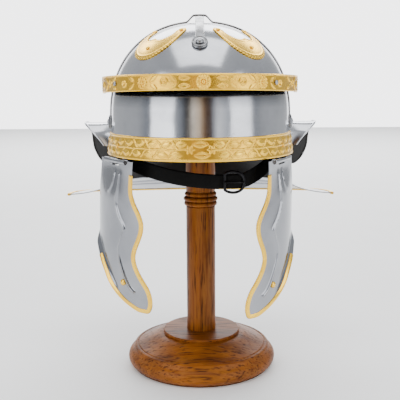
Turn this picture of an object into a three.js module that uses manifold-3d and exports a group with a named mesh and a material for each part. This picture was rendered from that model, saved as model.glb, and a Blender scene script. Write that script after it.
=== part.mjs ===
import * as THREE from 'three';
import { mergeVertices } from 'three/addons/utils/BufferGeometryUtils.js';
import Module from 'manifold-3d';

// Roman legionary helmet on a turned wooden stand, in millimetres.
// +Z is up, the brow faces -Y, and the origin is the centre of the stand's foot on the table.

const wasm = await Module();
wasm.setup();

// Walls and clearances
const clearance = 0.3;
const sheetWall = 1.2;
const reliefBite = 0.6;

// Bowl: a superelliptic dome on a wall that widens to the rim and narrows again to the nape
const crownZ = 383;
const shoulderZ = 283;
const rimZ = 244;
const napeZ = 203;
const shoulderHalfWidth = 97;
const shoulderHalfDepth = 109;
const rimHalfWidth = 101;
const rimHalfDepth = 114;
const napeHalfWidth = 104;
const napeHalfDepth = 105;
const domePower = 2.2;
const wallFlarePower = 1.6;
const napeSquareness = 1;

// Ear cut-outs in the bowl's wall
const earFrontY = 5;
const earMidY = 27;
const earRearY = 51;
const earTopZ = 276.5;
const earArchPower = 2.5;

// Neck guard
const neckHalfWidth = 162;
const neckReach = 95;
const neckCentreY = 68;
const neckRearZ = 179;
const neckTipRise = 7;
const neckRibHeight = 1.8;
const neckFrontDip = 5;
const neckWingDip = 4;
const bindingWall = 0.9;
const bindingDepth = 3.2;

// Ear guards
const earGuardTipX = 134.4;
const earGuardTipSweep = 92;
const earGuardTipZ = 274;
const earGuardFootOut = 5;
const earGuardLean = 4;
const earBead = 1.5;

// Embossed band round the front of the rim
const bandHeight = 23;
const bandSheet = 0.9;
const bandBorder = 1.9;
const bandBorderRaise = 0.6;
const bandEndTurn = 88;
const leafLength = 13;
const leafWidth = 7;
const leafRaise = 1.2;
const stemLength = 8;
const stemWidth = 2.6;
const rimNailTurn = 58.5;
const rimNailRadius = 2.2;

// Brow guard and its embossed facing
const browHalfWidth = 103.2;
const browReach = 115;
const browCentreY = -10;
const browMidZ = 312;
const browEndZ = 308.3;
const browMidHeight = 15.6;
const browEndHeight = 17.4;
const browEndTurn = 89;
const browFlange = 6;
const browSeat = 0.05;
const browBorder = 1.4;
const browBorderRaise = 0.5;
const browPatternTurn = 1.8;
const browRosette = 8;
const browSideRosette = 6.5;
const browRosetteRaise = 1.6;
const browLeafLength = 11;
const browLeafWidth = 4.6;
const scrollLength = 9.5;
const scrollWidth = 4.4;
const browRivetTurn = { left: 53.6, right: 45 };
const browRivetRadius = 2.4;

// Straps over the crown
const strapWidth = 9;
const strapWall = 2.4;
const strapDisc = 8.2;
const strapCrownGap = 4.3;
const strapSeat = 0.75;
const strapHumpFoot = 15;
const meridianStep = 1.66;
const sideStrapEndZ = 277;
const crownStrapEndZ = 357;
const strapRivetRadius = 4;
const strapRivetHeight = 3;

// Crescent plates on the shoulders of the bowl
const crescentWall = 1;
const crescentSeat = 0.7;
const crescentRadius = 22.5;
const crescentBelly = 29;
const crescentHorn = 9.5;
const crescentSweep = 122;
const crescentElevation = 55;
const crescentRivetRadius = 2.2;

// Cheek guards, hinged under the rim
const hingeZ = 240;
const hingeY = -56.5;
const knuckleRadius = 3;
const pinRadius = 1.5;
const knuckleHalf = 24;
const pinProud = 1;
const leafHalf = 9.7;
const leafTopZ = 262;
const cheekLength = 156;
const cheekBendRadius = 95;
const cheekBendTop = 4;
const cheekBendEnd = 41;
const cheekFlare = 4;
const cheekFlareWidth = 9;
const cheekBendBack = 9;
const cheekFront = 55.4;
const cheekRear = 43.5;
const cheekToe = { left: 32, right: 24.8 };
const hingeX = { left: 88, right: 84 };
const cheekLean = 0.05;
const cheekHang = 4.9;
const cheekRibWidth = 3.4;
const cheekRibHeight = 1.5;
const cheekEdging = 3.4;
const cheekEdgingWall = 0.7;
const cheekRivetRadius = 4;

// Chin strap and buckle
const leatherWidth = 15;
const leatherWall = 2;
const buckleWire = 1.6;
const prongRadius = 1.1;
const buckleHalfWidth = 11.5;
const buckleHalfHeight = 10.8;
const buckleCentre = new THREE.Vector3(33, -73, 219);

// Stand
const footRadius = 84.5;
const footRidgeRadius = 76;
const footRidgeZ = 22.9;
const postSeatRadius = 43.7;
const postSeatZ = 38.8;
const postRadius = 16.4;
const postBeadZ = 191;
const postBeadSpan = 17;
const capRadius = 26;
const capSlope = 0.125;

// Colours and finishes
function finish(color, roughness, metalness) {
  return new THREE.MeshStandardMaterial({ color, roughness, metalness });
}
const steel = finish(0xc4c7ca, 0.28, 1);
const strapSteel = finish(0xb4b6ba, 0.32, 1);
const brass = finish(0xe6c983, 0.3, 1);
const wood = finish(0x7a4a24, 0.55, 0);
const leather = finish(0x17151a, 0.6, 0);

const helmet = new THREE.Group();
const degrees = Math.PI / 180;

function lerp(a, b, share) {
  return a + (b - a) * share;
}

function smooth(from, to, value) {
  const share = Math.min(1, Math.max(0, (value - from) / (to - from)));
  return share * share * (3 - 2 * share);
}

// A power that keeps its base's sign, for superellipses
function signedPower(base, power) {
  return Math.sign(base) * Math.abs(base) ** power;
}

// Values from low to high in even steps, both ends kept
function steps(low, high, count) {
  return Array.from({ length: count + 1 }, (unused, i) => lerp(low, high, i / count));
}

// Straight-line value of a table of [key, value] rows
function lookUp(rows, key) {
  let i = 1;
  while (i < rows.length - 1 && key > rows[i][0]) {
    i += 1;
  }
  const [low, high] = [rows[i - 1], rows[i]];
  return lerp(low[1], high[1], (key - low[0]) / (high[0] - low[0]));
}

// A closed geometry from points and triangles, with doubles merged and its faces turned outwards
function closedGeometry(points, triangles) {
  const raw = new THREE.BufferGeometry();
  raw.setAttribute('position', new THREE.Float32BufferAttribute(points.flatMap((p) => [p.x, p.y, p.z]), 3));
  raw.setIndex(triangles.flat());
  const merged = mergeVertices(raw, 1e-4);
  const index = merged.getIndex().array;
  const kept = [];
  let volume = 0;
  const corner = [new THREE.Vector3(), new THREE.Vector3(), new THREE.Vector3()];
  for (let i = 0; i < index.length; i += 3) {
    const [a, b, c] = [index[i], index[i + 1], index[i + 2]];
    if (a === b || b === c || c === a) {
      continue;
    }
    kept.push([a, b, c]);
    corner.forEach((v, k) => v.fromBufferAttribute(merged.getAttribute('position'), [a, b, c][k]));
    volume += corner[0].dot(corner[1].clone().cross(corner[2]));
  }
  merged.setIndex(kept.flatMap(([a, b, c]) => (volume < 0 ? [a, c, b] : [a, b, c])));
  return merged;
}

// The wall between two like grids of points. A looped grid joins its last column to its first.
function wallBetween(outer, inner, looped = false) {
  const rows = outer.length;
  const columns = outer[0].length;
  const points = [...outer.flat(), ...inner.flat()];
  const under = rows * columns;
  const at = (row, column) => row * columns + (column % columns);
  const triangles = [];
  const quad = (a, b, c, d) => triangles.push([a, b, c], [a, c, d]);
  const lastColumn = looped ? columns : columns - 1;
  for (let row = 0; row < rows - 1; row += 1) {
    for (let column = 0; column < lastColumn; column += 1) {
      const [a, b] = [at(row, column), at(row, column + 1)];
      const [c, d] = [at(row + 1, column + 1), at(row + 1, column)];
      quad(a, b, c, d);
      quad(under + d, under + c, under + b, under + a);
    }
  }
  for (let column = 0; column < lastColumn; column += 1) {
    const [a, b] = [at(0, column), at(0, column + 1)];
    quad(b, a, under + a, under + b);
    const [c, d] = [at(rows - 1, column), at(rows - 1, column + 1)];
    quad(c, d, under + d, under + c);
  }
  for (let row = 0; row < rows - 1 && !looped; row += 1) {
    const [a, b] = [at(row, 0), at(row + 1, 0)];
    quad(a, b, under + b, under + a);
    const [c, d] = [at(row, columns - 1), at(row + 1, columns - 1)];
    quad(d, c, under + c, under + d);
  }
  return closedGeometry(points, triangles);
}

// A skin over like sections of points, with caps cut from their common outline
function skin(sections, outline) {
  const count = outline.length;
  const points = sections.flat();
  const triangles = [];
  for (let s = 0; s < sections.length - 1; s += 1) {
    for (let i = 0; i < count; i += 1) {
      const [a, b] = [s * count + i, s * count + ((i + 1) % count)];
      triangles.push([a, b, b + count], [a, b + count, a + count]);
    }
  }
  const last = (sections.length - 1) * count;
  const clockwise = THREE.ShapeUtils.area(outline) < 0;
  for (const corners of THREE.ShapeUtils.triangulateShape(outline, [])) {
    const [a, b, c] = clockwise ? corners.reverse() : corners;
    triangles.push([c, b, a], [last + a, last + b, last + c]);
  }
  return closedGeometry(points, triangles);
}

// Closed meshes to solids for cutting and joining, and back
function solidOf(geometry) {
  const bare = geometry.clone();
  bare.deleteAttribute('normal');
  bare.deleteAttribute('uv');
  const merged = mergeVertices(bare, 1e-4);
  return new wasm.Manifold(new wasm.Mesh({
    numProp: 3,
    vertProperties: new Float32Array(merged.getAttribute('position').array),
    triVerts: new Uint32Array(merged.getIndex().array),
  }));
}

function geometryOf(solid) {
  const mesh = solid.getMesh();
  const geometry = new THREE.BufferGeometry();
  geometry.setAttribute('position', new THREE.BufferAttribute(mesh.vertProperties, 3));
  geometry.setIndex(new THREE.BufferAttribute(mesh.triVerts, 1));
  return geometry;
}

function joined(geometries) {
  return geometryOf(geometries.map(solidOf).reduce((sum, solid) => sum.add(solid)));
}

function add(name, geometry, material) {
  geometry.computeVertexNormals();
  const mesh = new THREE.Mesh(geometry, material);
  mesh.name = name;
  helmet.add(mesh);
}

// Half width, half depth and superellipse power of the bowl's outside at one height of its wall
function wallSection(z) {
  if (z >= rimZ) {
    const flare = Math.max(0, (shoulderZ - z) / (shoulderZ - rimZ)) ** wallFlarePower;
    return [lerp(shoulderHalfWidth, rimHalfWidth, flare), lerp(shoulderHalfDepth, rimHalfDepth, flare), 2];
  }
  const drop = (rimZ - z) / (rimZ - napeZ);
  const power = 2 + napeSquareness * smooth(0, 1, drop);
  return [lerp(rimHalfWidth, napeHalfWidth, drop), lerp(rimHalfDepth, napeHalfDepth, drop), power];
}

function wallPoint(turn, z) {
  const [halfWidth, halfDepth, power] = wallSection(z);
  const x = halfWidth * signedPower(Math.sin(turn), 2 / power);
  const y = -halfDepth * signedPower(Math.cos(turn), 2 / power);
  return new THREE.Vector3(x, y, z);
}

function domePoint(turn, elevation) {
  const spread = Math.max(0, Math.cos(elevation)) ** (2 / domePower);
  const z = shoulderZ + (crownZ - shoulderZ) * Math.sin(elevation) ** (2 / domePower);
  const x = shoulderHalfWidth * spread * Math.sin(turn);
  return new THREE.Vector3(x, -shoulderHalfDepth * spread * Math.cos(turn), z);
}

// Outward normal of a surface of two parameters, from its steps; keel points away from its inside
function normalAt(surface, a, b, keel) {
  const step = 1e-3;
  const along = surface(a + step, b).sub(surface(a - step, b));
  const across = surface(a, b + step).sub(surface(a, b - step));
  const normal = along.cross(across).normalize();
  return normal.dot(keel) < 0 ? normal.negate() : normal;
}

const bowlHeart = new THREE.Vector3(0, 0, shoulderZ);

function offsetPoint(surface, a, b, distance) {
  const point = surface(a, b);
  const keel = point.clone().sub(bowlHeart);
  return point.addScaledVector(normalAt(surface, a, b, keel), distance);
}

// Turn about the bowl's axis of a wall point with a given y, right-hand side
function turnAt(y, z) {
  const [, halfDepth, power] = wallSection(z);
  return Math.acos(signedPower(-y / halfDepth, power / 2));
}

// Edge of the ear cut-out, from its front foot (0) over the top to its rear foot (180 degrees)
function earEdge(sweep) {
  const front = sweep < 90;
  const reach = signedPower(Math.cos(sweep * degrees), 2 / earArchPower);
  const rise = Math.max(0, Math.sin(sweep * degrees)) ** (2 / earArchPower);
  const y = earMidY - reach * (front ? earMidY - earFrontY : earRearY - earMidY);
  return { y, z: lerp(front ? rimZ : napeZ, earTopZ, rise) };
}

// Even columns from the middle of the front to the ear cut-outs, shared with the bands round it
const frontColumns = 9;

// Columns of the bowl, each with its turn at a height and the height of its lower edge. Those over the
// ear cut-outs keep their distance from the brow all the way up.
function bowlColumns() {
  const ear = steps(0, 180, 8).map((sweep) => {
    const { y, z } = earEdge(sweep);
    return { turn: (height) => turnAt(y, height), edge: z };
  });
  const plain = (from, to, count, edge) => (
    steps(from, to, count).map((turn) => ({ turn: () => turn, edge })));
  const front = plain(0, turnAt(earFrontY, rimZ), frontColumns, rimZ).slice(0, -1);
  const rear = plain(turnAt(earRearY, napeZ), Math.PI, 6, napeZ).slice(1);
  const right = [...front, ...ear, ...rear];
  const left = right.slice(1, -1).reverse().map(({ turn, edge }) => (
    { turn: (height) => -turn(height), edge }));
  return [...right, ...left];
}

function bowlGrid(depth) {
  const columns = bowlColumns();
  const elevations = [90, 73, 57, 43, 30, 15, 0];
  const dome = elevations.map((elevation) => columns.map(({ turn }) => (
    elevation === 90
      ? new THREE.Vector3(0, 0, crownZ - depth)
      : offsetPoint(domePoint, turn(shoulderZ), Math.max(elevation, 0.2) * degrees, -depth))));
  const wall = [0.3, 0.65, 1].map((share) => columns.map(({ turn, edge }) => {
    const z = lerp(shoulderZ, edge, share);
    return offsetPoint(wallPoint, turn(z), z, -depth);
  }));
  return [...dome, ...wall];
}

// Neck guard: from inside the nape out to an elliptic rim, dished down, with two embossed ribs
function neckPoint(share, sweep) {
  const napeTurn = lerp(Math.PI, turnAt(earRearY, napeZ), Math.abs(sweep) / 90) * Math.sign(sweep || 1);
  const nape = wallPoint(napeTurn, napeZ);
  const rimX = neckHalfWidth * Math.sin(sweep * degrees);
  const rimY = neckCentreY + neckReach * Math.cos(sweep * degrees);
  const rim = new THREE.Vector3(rimX, rimY, neckRearZ + neckTipRise * Math.abs(rimX / neckHalfWidth) ** 3);
  const point = nape.clone().lerp(rim, share);
  const ribs = [0.24, 0.46].map((at) => Math.max(0, 1 - Math.abs(share - at) / 0.06));
  const fade = 1 - smooth(62, 80, Math.abs(sweep));
  point.z += neckRibHeight * Math.max(...ribs) * fade;
  point.z -= neckWingDip * Math.sin(Math.PI * share) * (Math.abs(sweep) / 90) ** 2;
  point.y += neckFrontDip * Math.sin(Math.PI * share) * (Math.abs(sweep) / 90) ** 8;
  return point;
}

const neckSweeps = steps(-90, 90, 18);
const neckShares = [-0.012, 0.18, 0.24, 0.3, 0.4, 0.46, 0.52, 1];

function neckGuardShape() {
  const grid = (drop) => neckShares.map((share) => neckSweeps.map((sweep) => {
    const point = neckPoint(share, sweep);
    point.z -= drop;
    return point;
  }));
  return wallBetween(grid(0), grid(sheetWall));
}

function bowlShape() {
  const shell = wallBetween(bowlGrid(0), bowlGrid(sheetWall), true);
  return joined([shell, neckGuardShape()]);
}

// A folded edge binding: a channel round the edge of a sheet, from frames with the edge's point,
// its direction out of the sheet and the sheet's normal
function bindingShape(frames, half, wall, depth) {
  const inside = half + clearance;
  const outside = inside + wall;
  const lip = clearance + wall;
  const outline = [
    [-depth, inside], [clearance, inside], [clearance, -inside], [-depth, -inside],
    [-depth, -outside], [lip * 0.4, -outside], [lip, 0], [lip * 0.4, outside], [-depth, outside],
  ].map(([out, up]) => new THREE.Vector2(out, up));
  const sections = frames.map((frame) => outline.map(({ x, y }) => frame(x, y)));
  return skin(sections, outline);
}

function neckBindingShape() {
  const rim = neckSweeps.map((sweep) => {
    const edge = neckPoint(1, sweep);
    const out = edge.clone().sub(neckPoint(neckShares.at(-2), sweep)).normalize();
    edge.z -= sheetWall / 2;
    const along = neckPoint(1, sweep + 0.5).sub(neckPoint(1, sweep - 0.5)).normalize();
    const up = along.clone().cross(out).normalize();
    up.multiplyScalar(Math.sign(up.z));
    return (x, y) => edge.clone().addScaledVector(out, x).addScaledVector(up, y);
  });
  return bindingShape(rim, (sheetWall + clearance) / 2, bindingWall, bindingDepth);
}

// Ear guard of one side: a flare from the edge of the cut-out to a beaded rim, highest at its tip
function earGuardShape(side) {
  const sections = steps(6, 168, 9).map((sweep) => {
    const { y, z } = earEdge(sweep);
    const foot = offsetPoint(wallPoint, turnAt(y, z), z, 3 * clearance);
    const flare = sweep < earGuardTipSweep
      ? Math.sin((sweep / earGuardTipSweep) * 90 * degrees)
      : 1 - ((sweep - earGuardTipSweep) / 80) ** 8;
    const reach = lerp(earGuardFootOut, earGuardTipX - shoulderHalfWidth - clearance, flare);
    const droop = lerp(0, earTopZ - earGuardTipZ, flare);
    const rim = new THREE.Vector3(foot.x + reach, foot.y + earGuardLean * flare, foot.z - droop + 1);
    const out = rim.clone().sub(foot).normalize();
    const next = earEdge(sweep + 4);
    const along = new THREE.Vector3(0, next.y - y, next.z - z).normalize();
    const up = out.clone().cross(along).normalize();
    up.multiplyScalar(Math.sign(up.z + up.y * (sweep < 90 ? -1 : 1)));
    const half = sheetWall / 2;
    const places = [
      [foot, 0, half], [rim, -2 * earBead, half], [rim, -earBead, earBead], [rim, 0, earBead * 0.8],
      [rim, 0, -earBead * 0.8], [rim, -earBead, -half], [foot, 0, -half],
    ];
    return places.map(([base, back, lift]) => {
      const point = base.clone().addScaledVector(out, back).addScaledVector(up, lift);
      point.x *= side;
      return point;
    });
  });
  const outline = [[0, 1], [7, 1], [8, 2], [9, 1.5], [9, -1.5], [8, -1], [0, -1]];
  return skin(sections, outline.map(([x, y]) => new THREE.Vector2(x, y)));
}

// A raised shape in a band's own coordinates: along it, up it and out of it
function reliefShape(rings, peak, place) {
  const count = rings[0].length;
  const points = [...rings.flat(), peak];
  const triangles = [];
  for (let ring = 0; ring < rings.length - 1; ring += 1) {
    for (let i = 0; i < count; i += 1) {
      const [a, b] = [ring * count + i, ring * count + ((i + 1) % count)];
      triangles.push([a, b, b + count], [a, b + count, a + count]);
    }
  }
  const top = (rings.length - 1) * count;
  for (let i = 0; i < count; i += 1) {
    triangles.push([top + i, top + ((i + 1) % count), points.length - 1]);
  }
  for (let i = 1; i < count - 1; i += 1) {
    triangles.push([0, i + 1, i]);
  }
  return closedGeometry(points.map((p) => place(p.x, p.y, p.z)), triangles);
}

// Pointed leaf with a crest, centred at (along, up) and tilted
function leafShape(along, up, tilt, length, width, face, raise, place) {
  const scale = 1 + reliefBite / raise;
  const [c, s] = [Math.cos(tilt * degrees), Math.sin(tilt * degrees)];
  const ring = steps(0, 360, 6).slice(0, -1).map((angle) => {
    const x = length / 2 * scale * Math.cos(angle * degrees);
    const y = width / 2 * scale * Math.sin(angle * degrees);
    return new THREE.Vector3(along + x * c - y * s, up + x * s + y * c, face - reliefBite);
  });
  return reliefShape([ring], new THREE.Vector3(along, up, face + raise), place);
}

// Rosette: a ring of petals, a hollow round the middle, and a ball
function rosetteShape(along, up, radius, petals, face, raise, place) {
  const ring = (out, low, high) => steps(0, 360, 2 * petals).slice(0, -1).map((angle, i) => {
    const r = i % 2 === 0 ? high : low;
    return new THREE.Vector3(along + r * Math.cos(angle * degrees), up + r * Math.sin(angle * degrees), out);
  });
  const rings = [
    ring(face - reliefBite, radius * 0.82, radius),
    ring(face + raise, radius * 0.64, radius * 0.8),
    ring(face + raise * 0.3, radius * 0.36, radius * 0.36),
  ];
  return reliefShape(rings, new THREE.Vector3(along, up, face + raise * 1.3), place);
}

// Sheet with raised borders, bent along a band's place function; rows are [share of height, face]
function bandShape(turns, heightAt, rows, place, radius) {
  const outline = [[0, 0], ...rows, [1, 0]].map(([up, out]) => new THREE.Vector2(out, up * 10));
  const sections = turns.map((turn) => (
    outline.map(({ x, y }) => place(turn * radius, y / 10 * heightAt(turn), x))));
  return skin(sections, outline);
}

// Rim band: wrapped round the front of the wall, from its back face outwards
function rimBandPlace(along, up, out) {
  return offsetPoint(wallPoint, along / rimHalfDepth, rimZ + up, 1.5 * clearance + out);
}

function rimBandShape() {
  const border = bandSheet + bandBorderRaise;
  const edge = bandBorder / bandHeight;
  const rows = [
    [0, border], [edge, border], [edge + 0.02, bandSheet],
    [0.98 - edge, bandSheet], [1 - edge, border], [1, border],
  ];
  const end = bandEndTurn * degrees;
  const columns = steps(0, turnAt(earFrontY, rimZ), frontColumns).filter((turn) => turn < end - 0.02);
  const turns = [-end, ...columns.slice(1).reverse().map((turn) => -turn), ...columns, end];
  const pieces = [bandShape(turns, () => bandHeight, rows, rimBandPlace, rimHalfDepth)];
  const at = (turn) => turn * degrees * rimHalfDepth;
  const leaf = (turn, share, tilt, length, width) => pieces.push(
    leafShape(at(turn), share * bandHeight, tilt, length, width, bandSheet, leafRaise, rimBandPlace));
  for (const side of [-1, 1]) {
    for (const turn of [16.4, 31.6, 46.8, 74]) {
      leaf(side * turn, 0.27, 0, leafLength, leafWidth);
      leaf(side * turn, 0.73, 0, leafLength, leafWidth);
    }
    for (const turn of [9, 24, 39.2, 64]) {
      leaf(side * turn, 0.3, side * -58, stemLength, stemWidth);
      leaf(side * turn, 0.7, side * 58, stemLength, stemWidth);
    }
  }
  leaf(0, 0.73, 0, leafLength * 1.1, leafWidth);
  leaf(1.5, 0.27, 0, leafLength * 1.1, leafWidth);
  return joined(pieces);
}

const browColumns = 18;

// Brow guard: an elliptic fascia that stands out from the bowl, seen as turn, height and outward
function browHeight(turn) {
  return lerp(browEndHeight, browMidHeight, Math.cos(turn));
}

function browFoot(turn) {
  const x = browHalfWidth * Math.sin(turn);
  const y = browCentreY - browReach * Math.cos(turn);
  return new THREE.Vector3(x, y, lerp(browEndZ, browMidZ, Math.cos(turn)));
}

function browPlace(along, up, out) {
  const turn = along / browReach;
  const foot = browFoot(turn);
  const ahead = new THREE.Vector3(Math.sin(turn) / browHalfWidth, -Math.cos(turn) / browReach, 0).normalize();
  foot.addScaledVector(ahead, out);
  foot.z += up;
  return foot;
}

// Point of the dome's outside with the same bearing from the bowl's axis as a given point, at height z
function domeUnder(point, z) {
  const rise = (z - shoulderZ) / (crownZ - shoulderZ);
  const spread = (1 - rise ** domePower) ** (1 / domePower);
  const reach = Math.hypot(point.x / shoulderHalfWidth, point.y / shoulderHalfDepth);
  return new THREE.Vector3(point.x * spread / reach, point.y * spread / reach, z);
}

function browGuardShape() {
  const outline = [[9, 0], [9, 9], [0, 9], [-1, 3], [1, 3], [2, 7], [7, 7], [7, 0]];
  const sections = steps(-browEndTurn, browEndTurn, browColumns).map((degree) => {
    const turn = degree * degrees;
    const along = turn * browReach;
    const height = browHeight(turn);
    const top = browPlace(along, height, 0);
    const inward = (drop, wall) => {
      const seat = domeUnder(top, top.z - drop);
      const out = new THREE.Vector3(seat.x, seat.y, 0).normalize();
      return seat.addScaledVector(out, browSeat + wall);
    };
    return [
      browPlace(along, 0, 0), top,
      inward(0, 0), inward(browFlange, 0), inward(browFlange, sheetWall), inward(sheetWall, sheetWall),
      browPlace(along, height - sheetWall, -sheetWall), browPlace(along, 0, -sheetWall),
    ];
  });
  return skin(sections, outline.map(([x, y]) => new THREE.Vector2(x, y)));
}

function browBandShape() {
  const face = clearance + bandSheet;
  const edge = browBorder / browMidHeight;
  const rows = [
    [0, face + browBorderRaise], [edge, face + browBorderRaise], [edge + 0.02, face],
    [0.98 - edge, face], [1 - edge, face + browBorderRaise], [1, face + browBorderRaise], [1, clearance],
  ];
  const turns = steps(-browEndTurn * degrees, browEndTurn * degrees, browColumns);
  const outline = [[0, clearance], ...rows].map(([up, out]) => new THREE.Vector2(out, up * 10));
  const sections = turns.map((turn) => (
    outline.map(({ x, y }) => browPlace(turn * browReach, y / 10 * browHeight(turn), x))));
  const pieces = [skin(sections, outline)];
  const at = (turn) => (turn + browPatternTurn) * degrees * browReach;
  const middle = browMidHeight / 2;
  const leaf = (turn, up, tilt, length, width) => pieces.push(
    leafShape(at(turn), up, tilt, length, width, face, leafRaise, browPlace));
  pieces.push(rosetteShape(at(0), middle, browRosette * 0.92, 12, face, browRosetteRaise, browPlace));
  for (const side of [-1, 1]) {
    pieces.push(rosetteShape(at(side * 33.6), middle, browSideRosette, 8, face, leafRaise, browPlace));
    for (const share of [0.27, 0.73]) {
      leaf(side * 9.6, share * browMidHeight, 0, browLeafLength, browLeafWidth);
    }
    const rivet = side * browRivetTurn[side > 0 ? 'right' : 'left'] - browPatternTurn;
    const scroll = [[16, 60], [22.5, -25], [44, 25], [54, -25], [64, 25], [74, -25]];
    for (const [turn, tilt] of scroll.filter(([at]) => Math.abs(side * at - rivet) > 5)) {
      leaf(side * turn, middle, side * tilt, scrollLength, scrollWidth);
    }
  }
  return joined(pieces);
}

// Domed rivet head with its flat underside on a seat
function rivetShape(seat, normal, radius, height) {
  const sides = radius > 3 ? 10 : 6;
  const profile = [[0, 0], [radius, 0], [radius * 0.72, height * 0.7], [0, height]];
  const lathe = new THREE.LatheGeometry(profile.map(([x, y]) => new THREE.Vector2(x, y)), sides);
  const up = new THREE.Vector3(0, 1, 0);
  lathe.applyQuaternion(new THREE.Quaternion().setFromUnitVectors(up, normal));
  lathe.translate(seat.x, seat.y, seat.z);
  return geometryOf(solidOf(lathe));
}

// Elevation on the dome of a point at a level distance from the bowl's axis
function elevationAt(distance, halfSpan) {
  return Math.acos((distance / halfSpan) ** (domePower / 2)) / degrees;
}

// Point over a meridian of the bowl; an elevation below zero runs on down the wall
function meridianPoint(turn, elevation, out) {
  if (elevation > 89.9) {
    return new THREE.Vector3(0, 0, crownZ + out);
  }
  if (elevation < 0.2) {
    return offsetPoint(wallPoint, turn, shoulderZ + elevation * meridianStep, out);
  }
  return offsetPoint(domePoint, turn, elevation * degrees, out);
}

// Half of a strap from its end disc to the crown: rows of elevation and half width
function strapStations(endElevation, halfSpan) {
  const disc = [[-1, 0.1], [-0.85, 0.53], [-0.45, 0.89], [0, 1], [0.45, 0.89], [0.8, 0.6]];
  const ends = disc.map(([back, wide]) => [endElevation + back * strapDisc / meridianStep, wide * strapDisc]);
  const high = elevationAt(strapHumpFoot * 2, halfSpan);
  const run = steps(endElevation + 1.25 * strapDisc / meridianStep, high, 6);
  const top = [strapHumpFoot, strapHumpFoot * 0.7, strapWidth / 2 + 0.8];
  const near = top.map((distance) => elevationAt(distance, halfSpan));
  return [...ends, ...[...run, ...near].map((elevation) => [elevation, strapWidth / 2]), [90, strapWidth / 2]];
}

// Strap over the crown, the same on both sides; lift raises it near the middle
function strapShape(turn, endElevation, halfSpan, lift) {
  const half = strapStations(endElevation, halfSpan);
  const across = new THREE.Vector3(Math.cos(turn), Math.sin(turn), 0);
  const section = (bearing, sign) => ([elevation, wide]) => {
    const point = meridianPoint(bearing, elevation, strapSeat);
    const above = meridianPoint(bearing, elevation, strapSeat + 1);
    const normal = above.sub(point).normalize();
    point.z += lift(Math.hypot(point.x, point.y));
    const places = [[-1, 0], [1, 0], [0.8, 1], [-0.8, 1]];
    return places.map(([x, y]) => point.clone()
      .addScaledVector(across, sign * x * wide)
      .addScaledVector(normal, y * strapWall));
  };
  const going = half.map(section(turn, 1));
  const coming = half.slice(0, -1).map(section(turn + Math.PI, 1)).reverse();
  const outline = [[-1, 0], [1, 0], [0.8, 1], [-0.8, 1]];
  return skin([...going, ...coming], outline.map(([x, y]) => new THREE.Vector2(x, y)));
}

// Lift of the strap that runs from front to back, and of the one that bridges over it
function crownStrapLift(distance) {
  return strapCrownGap * smooth(2 * strapHumpFoot, strapWidth, distance);
}

function sideStrapLift(distance) {
  return (strapCrownGap + strapWall + clearance) * smooth(strapHumpFoot, strapWidth / 2 + 1, distance);
}

const crownStrapRise = (crownStrapEndZ - shoulderZ) / (crownZ - shoulderZ);
const crownStrapEnd = Math.asin(crownStrapRise ** (domePower / 2)) / degrees;
const sideStrapEnd = (sideStrapEndZ - shoulderZ) / meridianStep;

// Crescent plate: a widening arc about a centre on the dome, seen as sideways, up the dome and outward
function crescentPlace(turn, sideways, up, out) {
  const elevation = (crescentElevation + up / meridianStep) * degrees;
  const level = (shoulderHalfWidth + shoulderHalfDepth) / 2 * Math.cos(elevation) ** (2 / domePower);
  return offsetPoint(domePoint, turn + sideways / level, elevation, out);
}

function crescentAt(turn, sweep, share, out) {
  const far = Math.abs(sweep) / crescentSweep;
  const middle = crescentRadius * lerp(0.91, 1.09, far);
  const wide = lerp(crescentBelly, crescentHorn, smooth(0, 0.85, far)) * (1 - 0.6 * smooth(0.93, 1.02, far));
  const radius = middle + share * wide / 2;
  return crescentPlace(turn, radius * Math.sin(sweep * degrees), -radius * Math.cos(sweep * degrees), out);
}

function crescentShape(turn) {
  const sweeps = [-1, -0.93, -0.75, -0.5, -0.25, 0, 0.25, 0.5, 0.75, 0.93, 1];
  const grid = (out) => sweeps.map((sweep) => (
    [-1, -0.33, 0.33, 1].map((share) => crescentAt(turn, sweep * crescentSweep, share, out))));
  return wallBetween(grid(crescentSeat + crescentWall), grid(crescentSeat));
}

// Cheek guard of one side: its own axes run forward along the hinge, down, and outward
function cheekFrame({ side, toe, hingeX }) {
  const [c, s] = [Math.cos(toe * degrees), Math.sin(toe * degrees)];
  return {
    lean: side * cheekLean,
    origin: new THREE.Vector3(side * hingeX, hingeY, hingeZ),
    forward: new THREE.Vector3(-side * s, -c, 0),
    outward: new THREE.Vector3(side * c, -s, 0),
  };
}

function inFrame({ origin, forward, outward }, along, drop, out) {
  const point = origin.clone().addScaledVector(forward, along).addScaledVector(outward, out);
  point.z -= drop;
  return point;
}

// Front and rear edges of a cheek guard, as shares of its reach in front of and behind the hinge's middle
const cheekFrontRows = [
  [-0.02, 0.691], [0.05, 0.657], [0.13, 0.592], [0.205, 0.565], [0.27, 0.628], [0.333, 0.731],
  [0.397, 0.798], [0.45, 0.794], [0.51, 0.74], [0.577, 0.657], [0.64, 0.625], [0.705, 0.682],
  [0.77, 0.794], [0.833, 0.921], [0.9, 0.991], [0.95, 1], [1, 0.957],
];
const cheekRearRows = [
  [-0.02, -0.747], [0.2, -0.851], [0.4, -0.989], [0.5, -1], [0.577, -0.862], [0.64, -0.632],
  [0.705, -0.391], [0.77, -0.149], [0.833, 0.046], [0.9, 0.276], [0.95, 0.552], [1, 0.966],
];

// Rivet low on a cheek guard, as shares of its reach in front of the hinge's middle and of its length
const cheekRivetPlace = [0.362, 0.814];

function cheekEdges(drop) {
  const share = drop / cheekLength;
  return [cheekRear * lookUp(cheekRearRows, share), cheekFront * lookUp(cheekFrontRows, share)];
}

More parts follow.
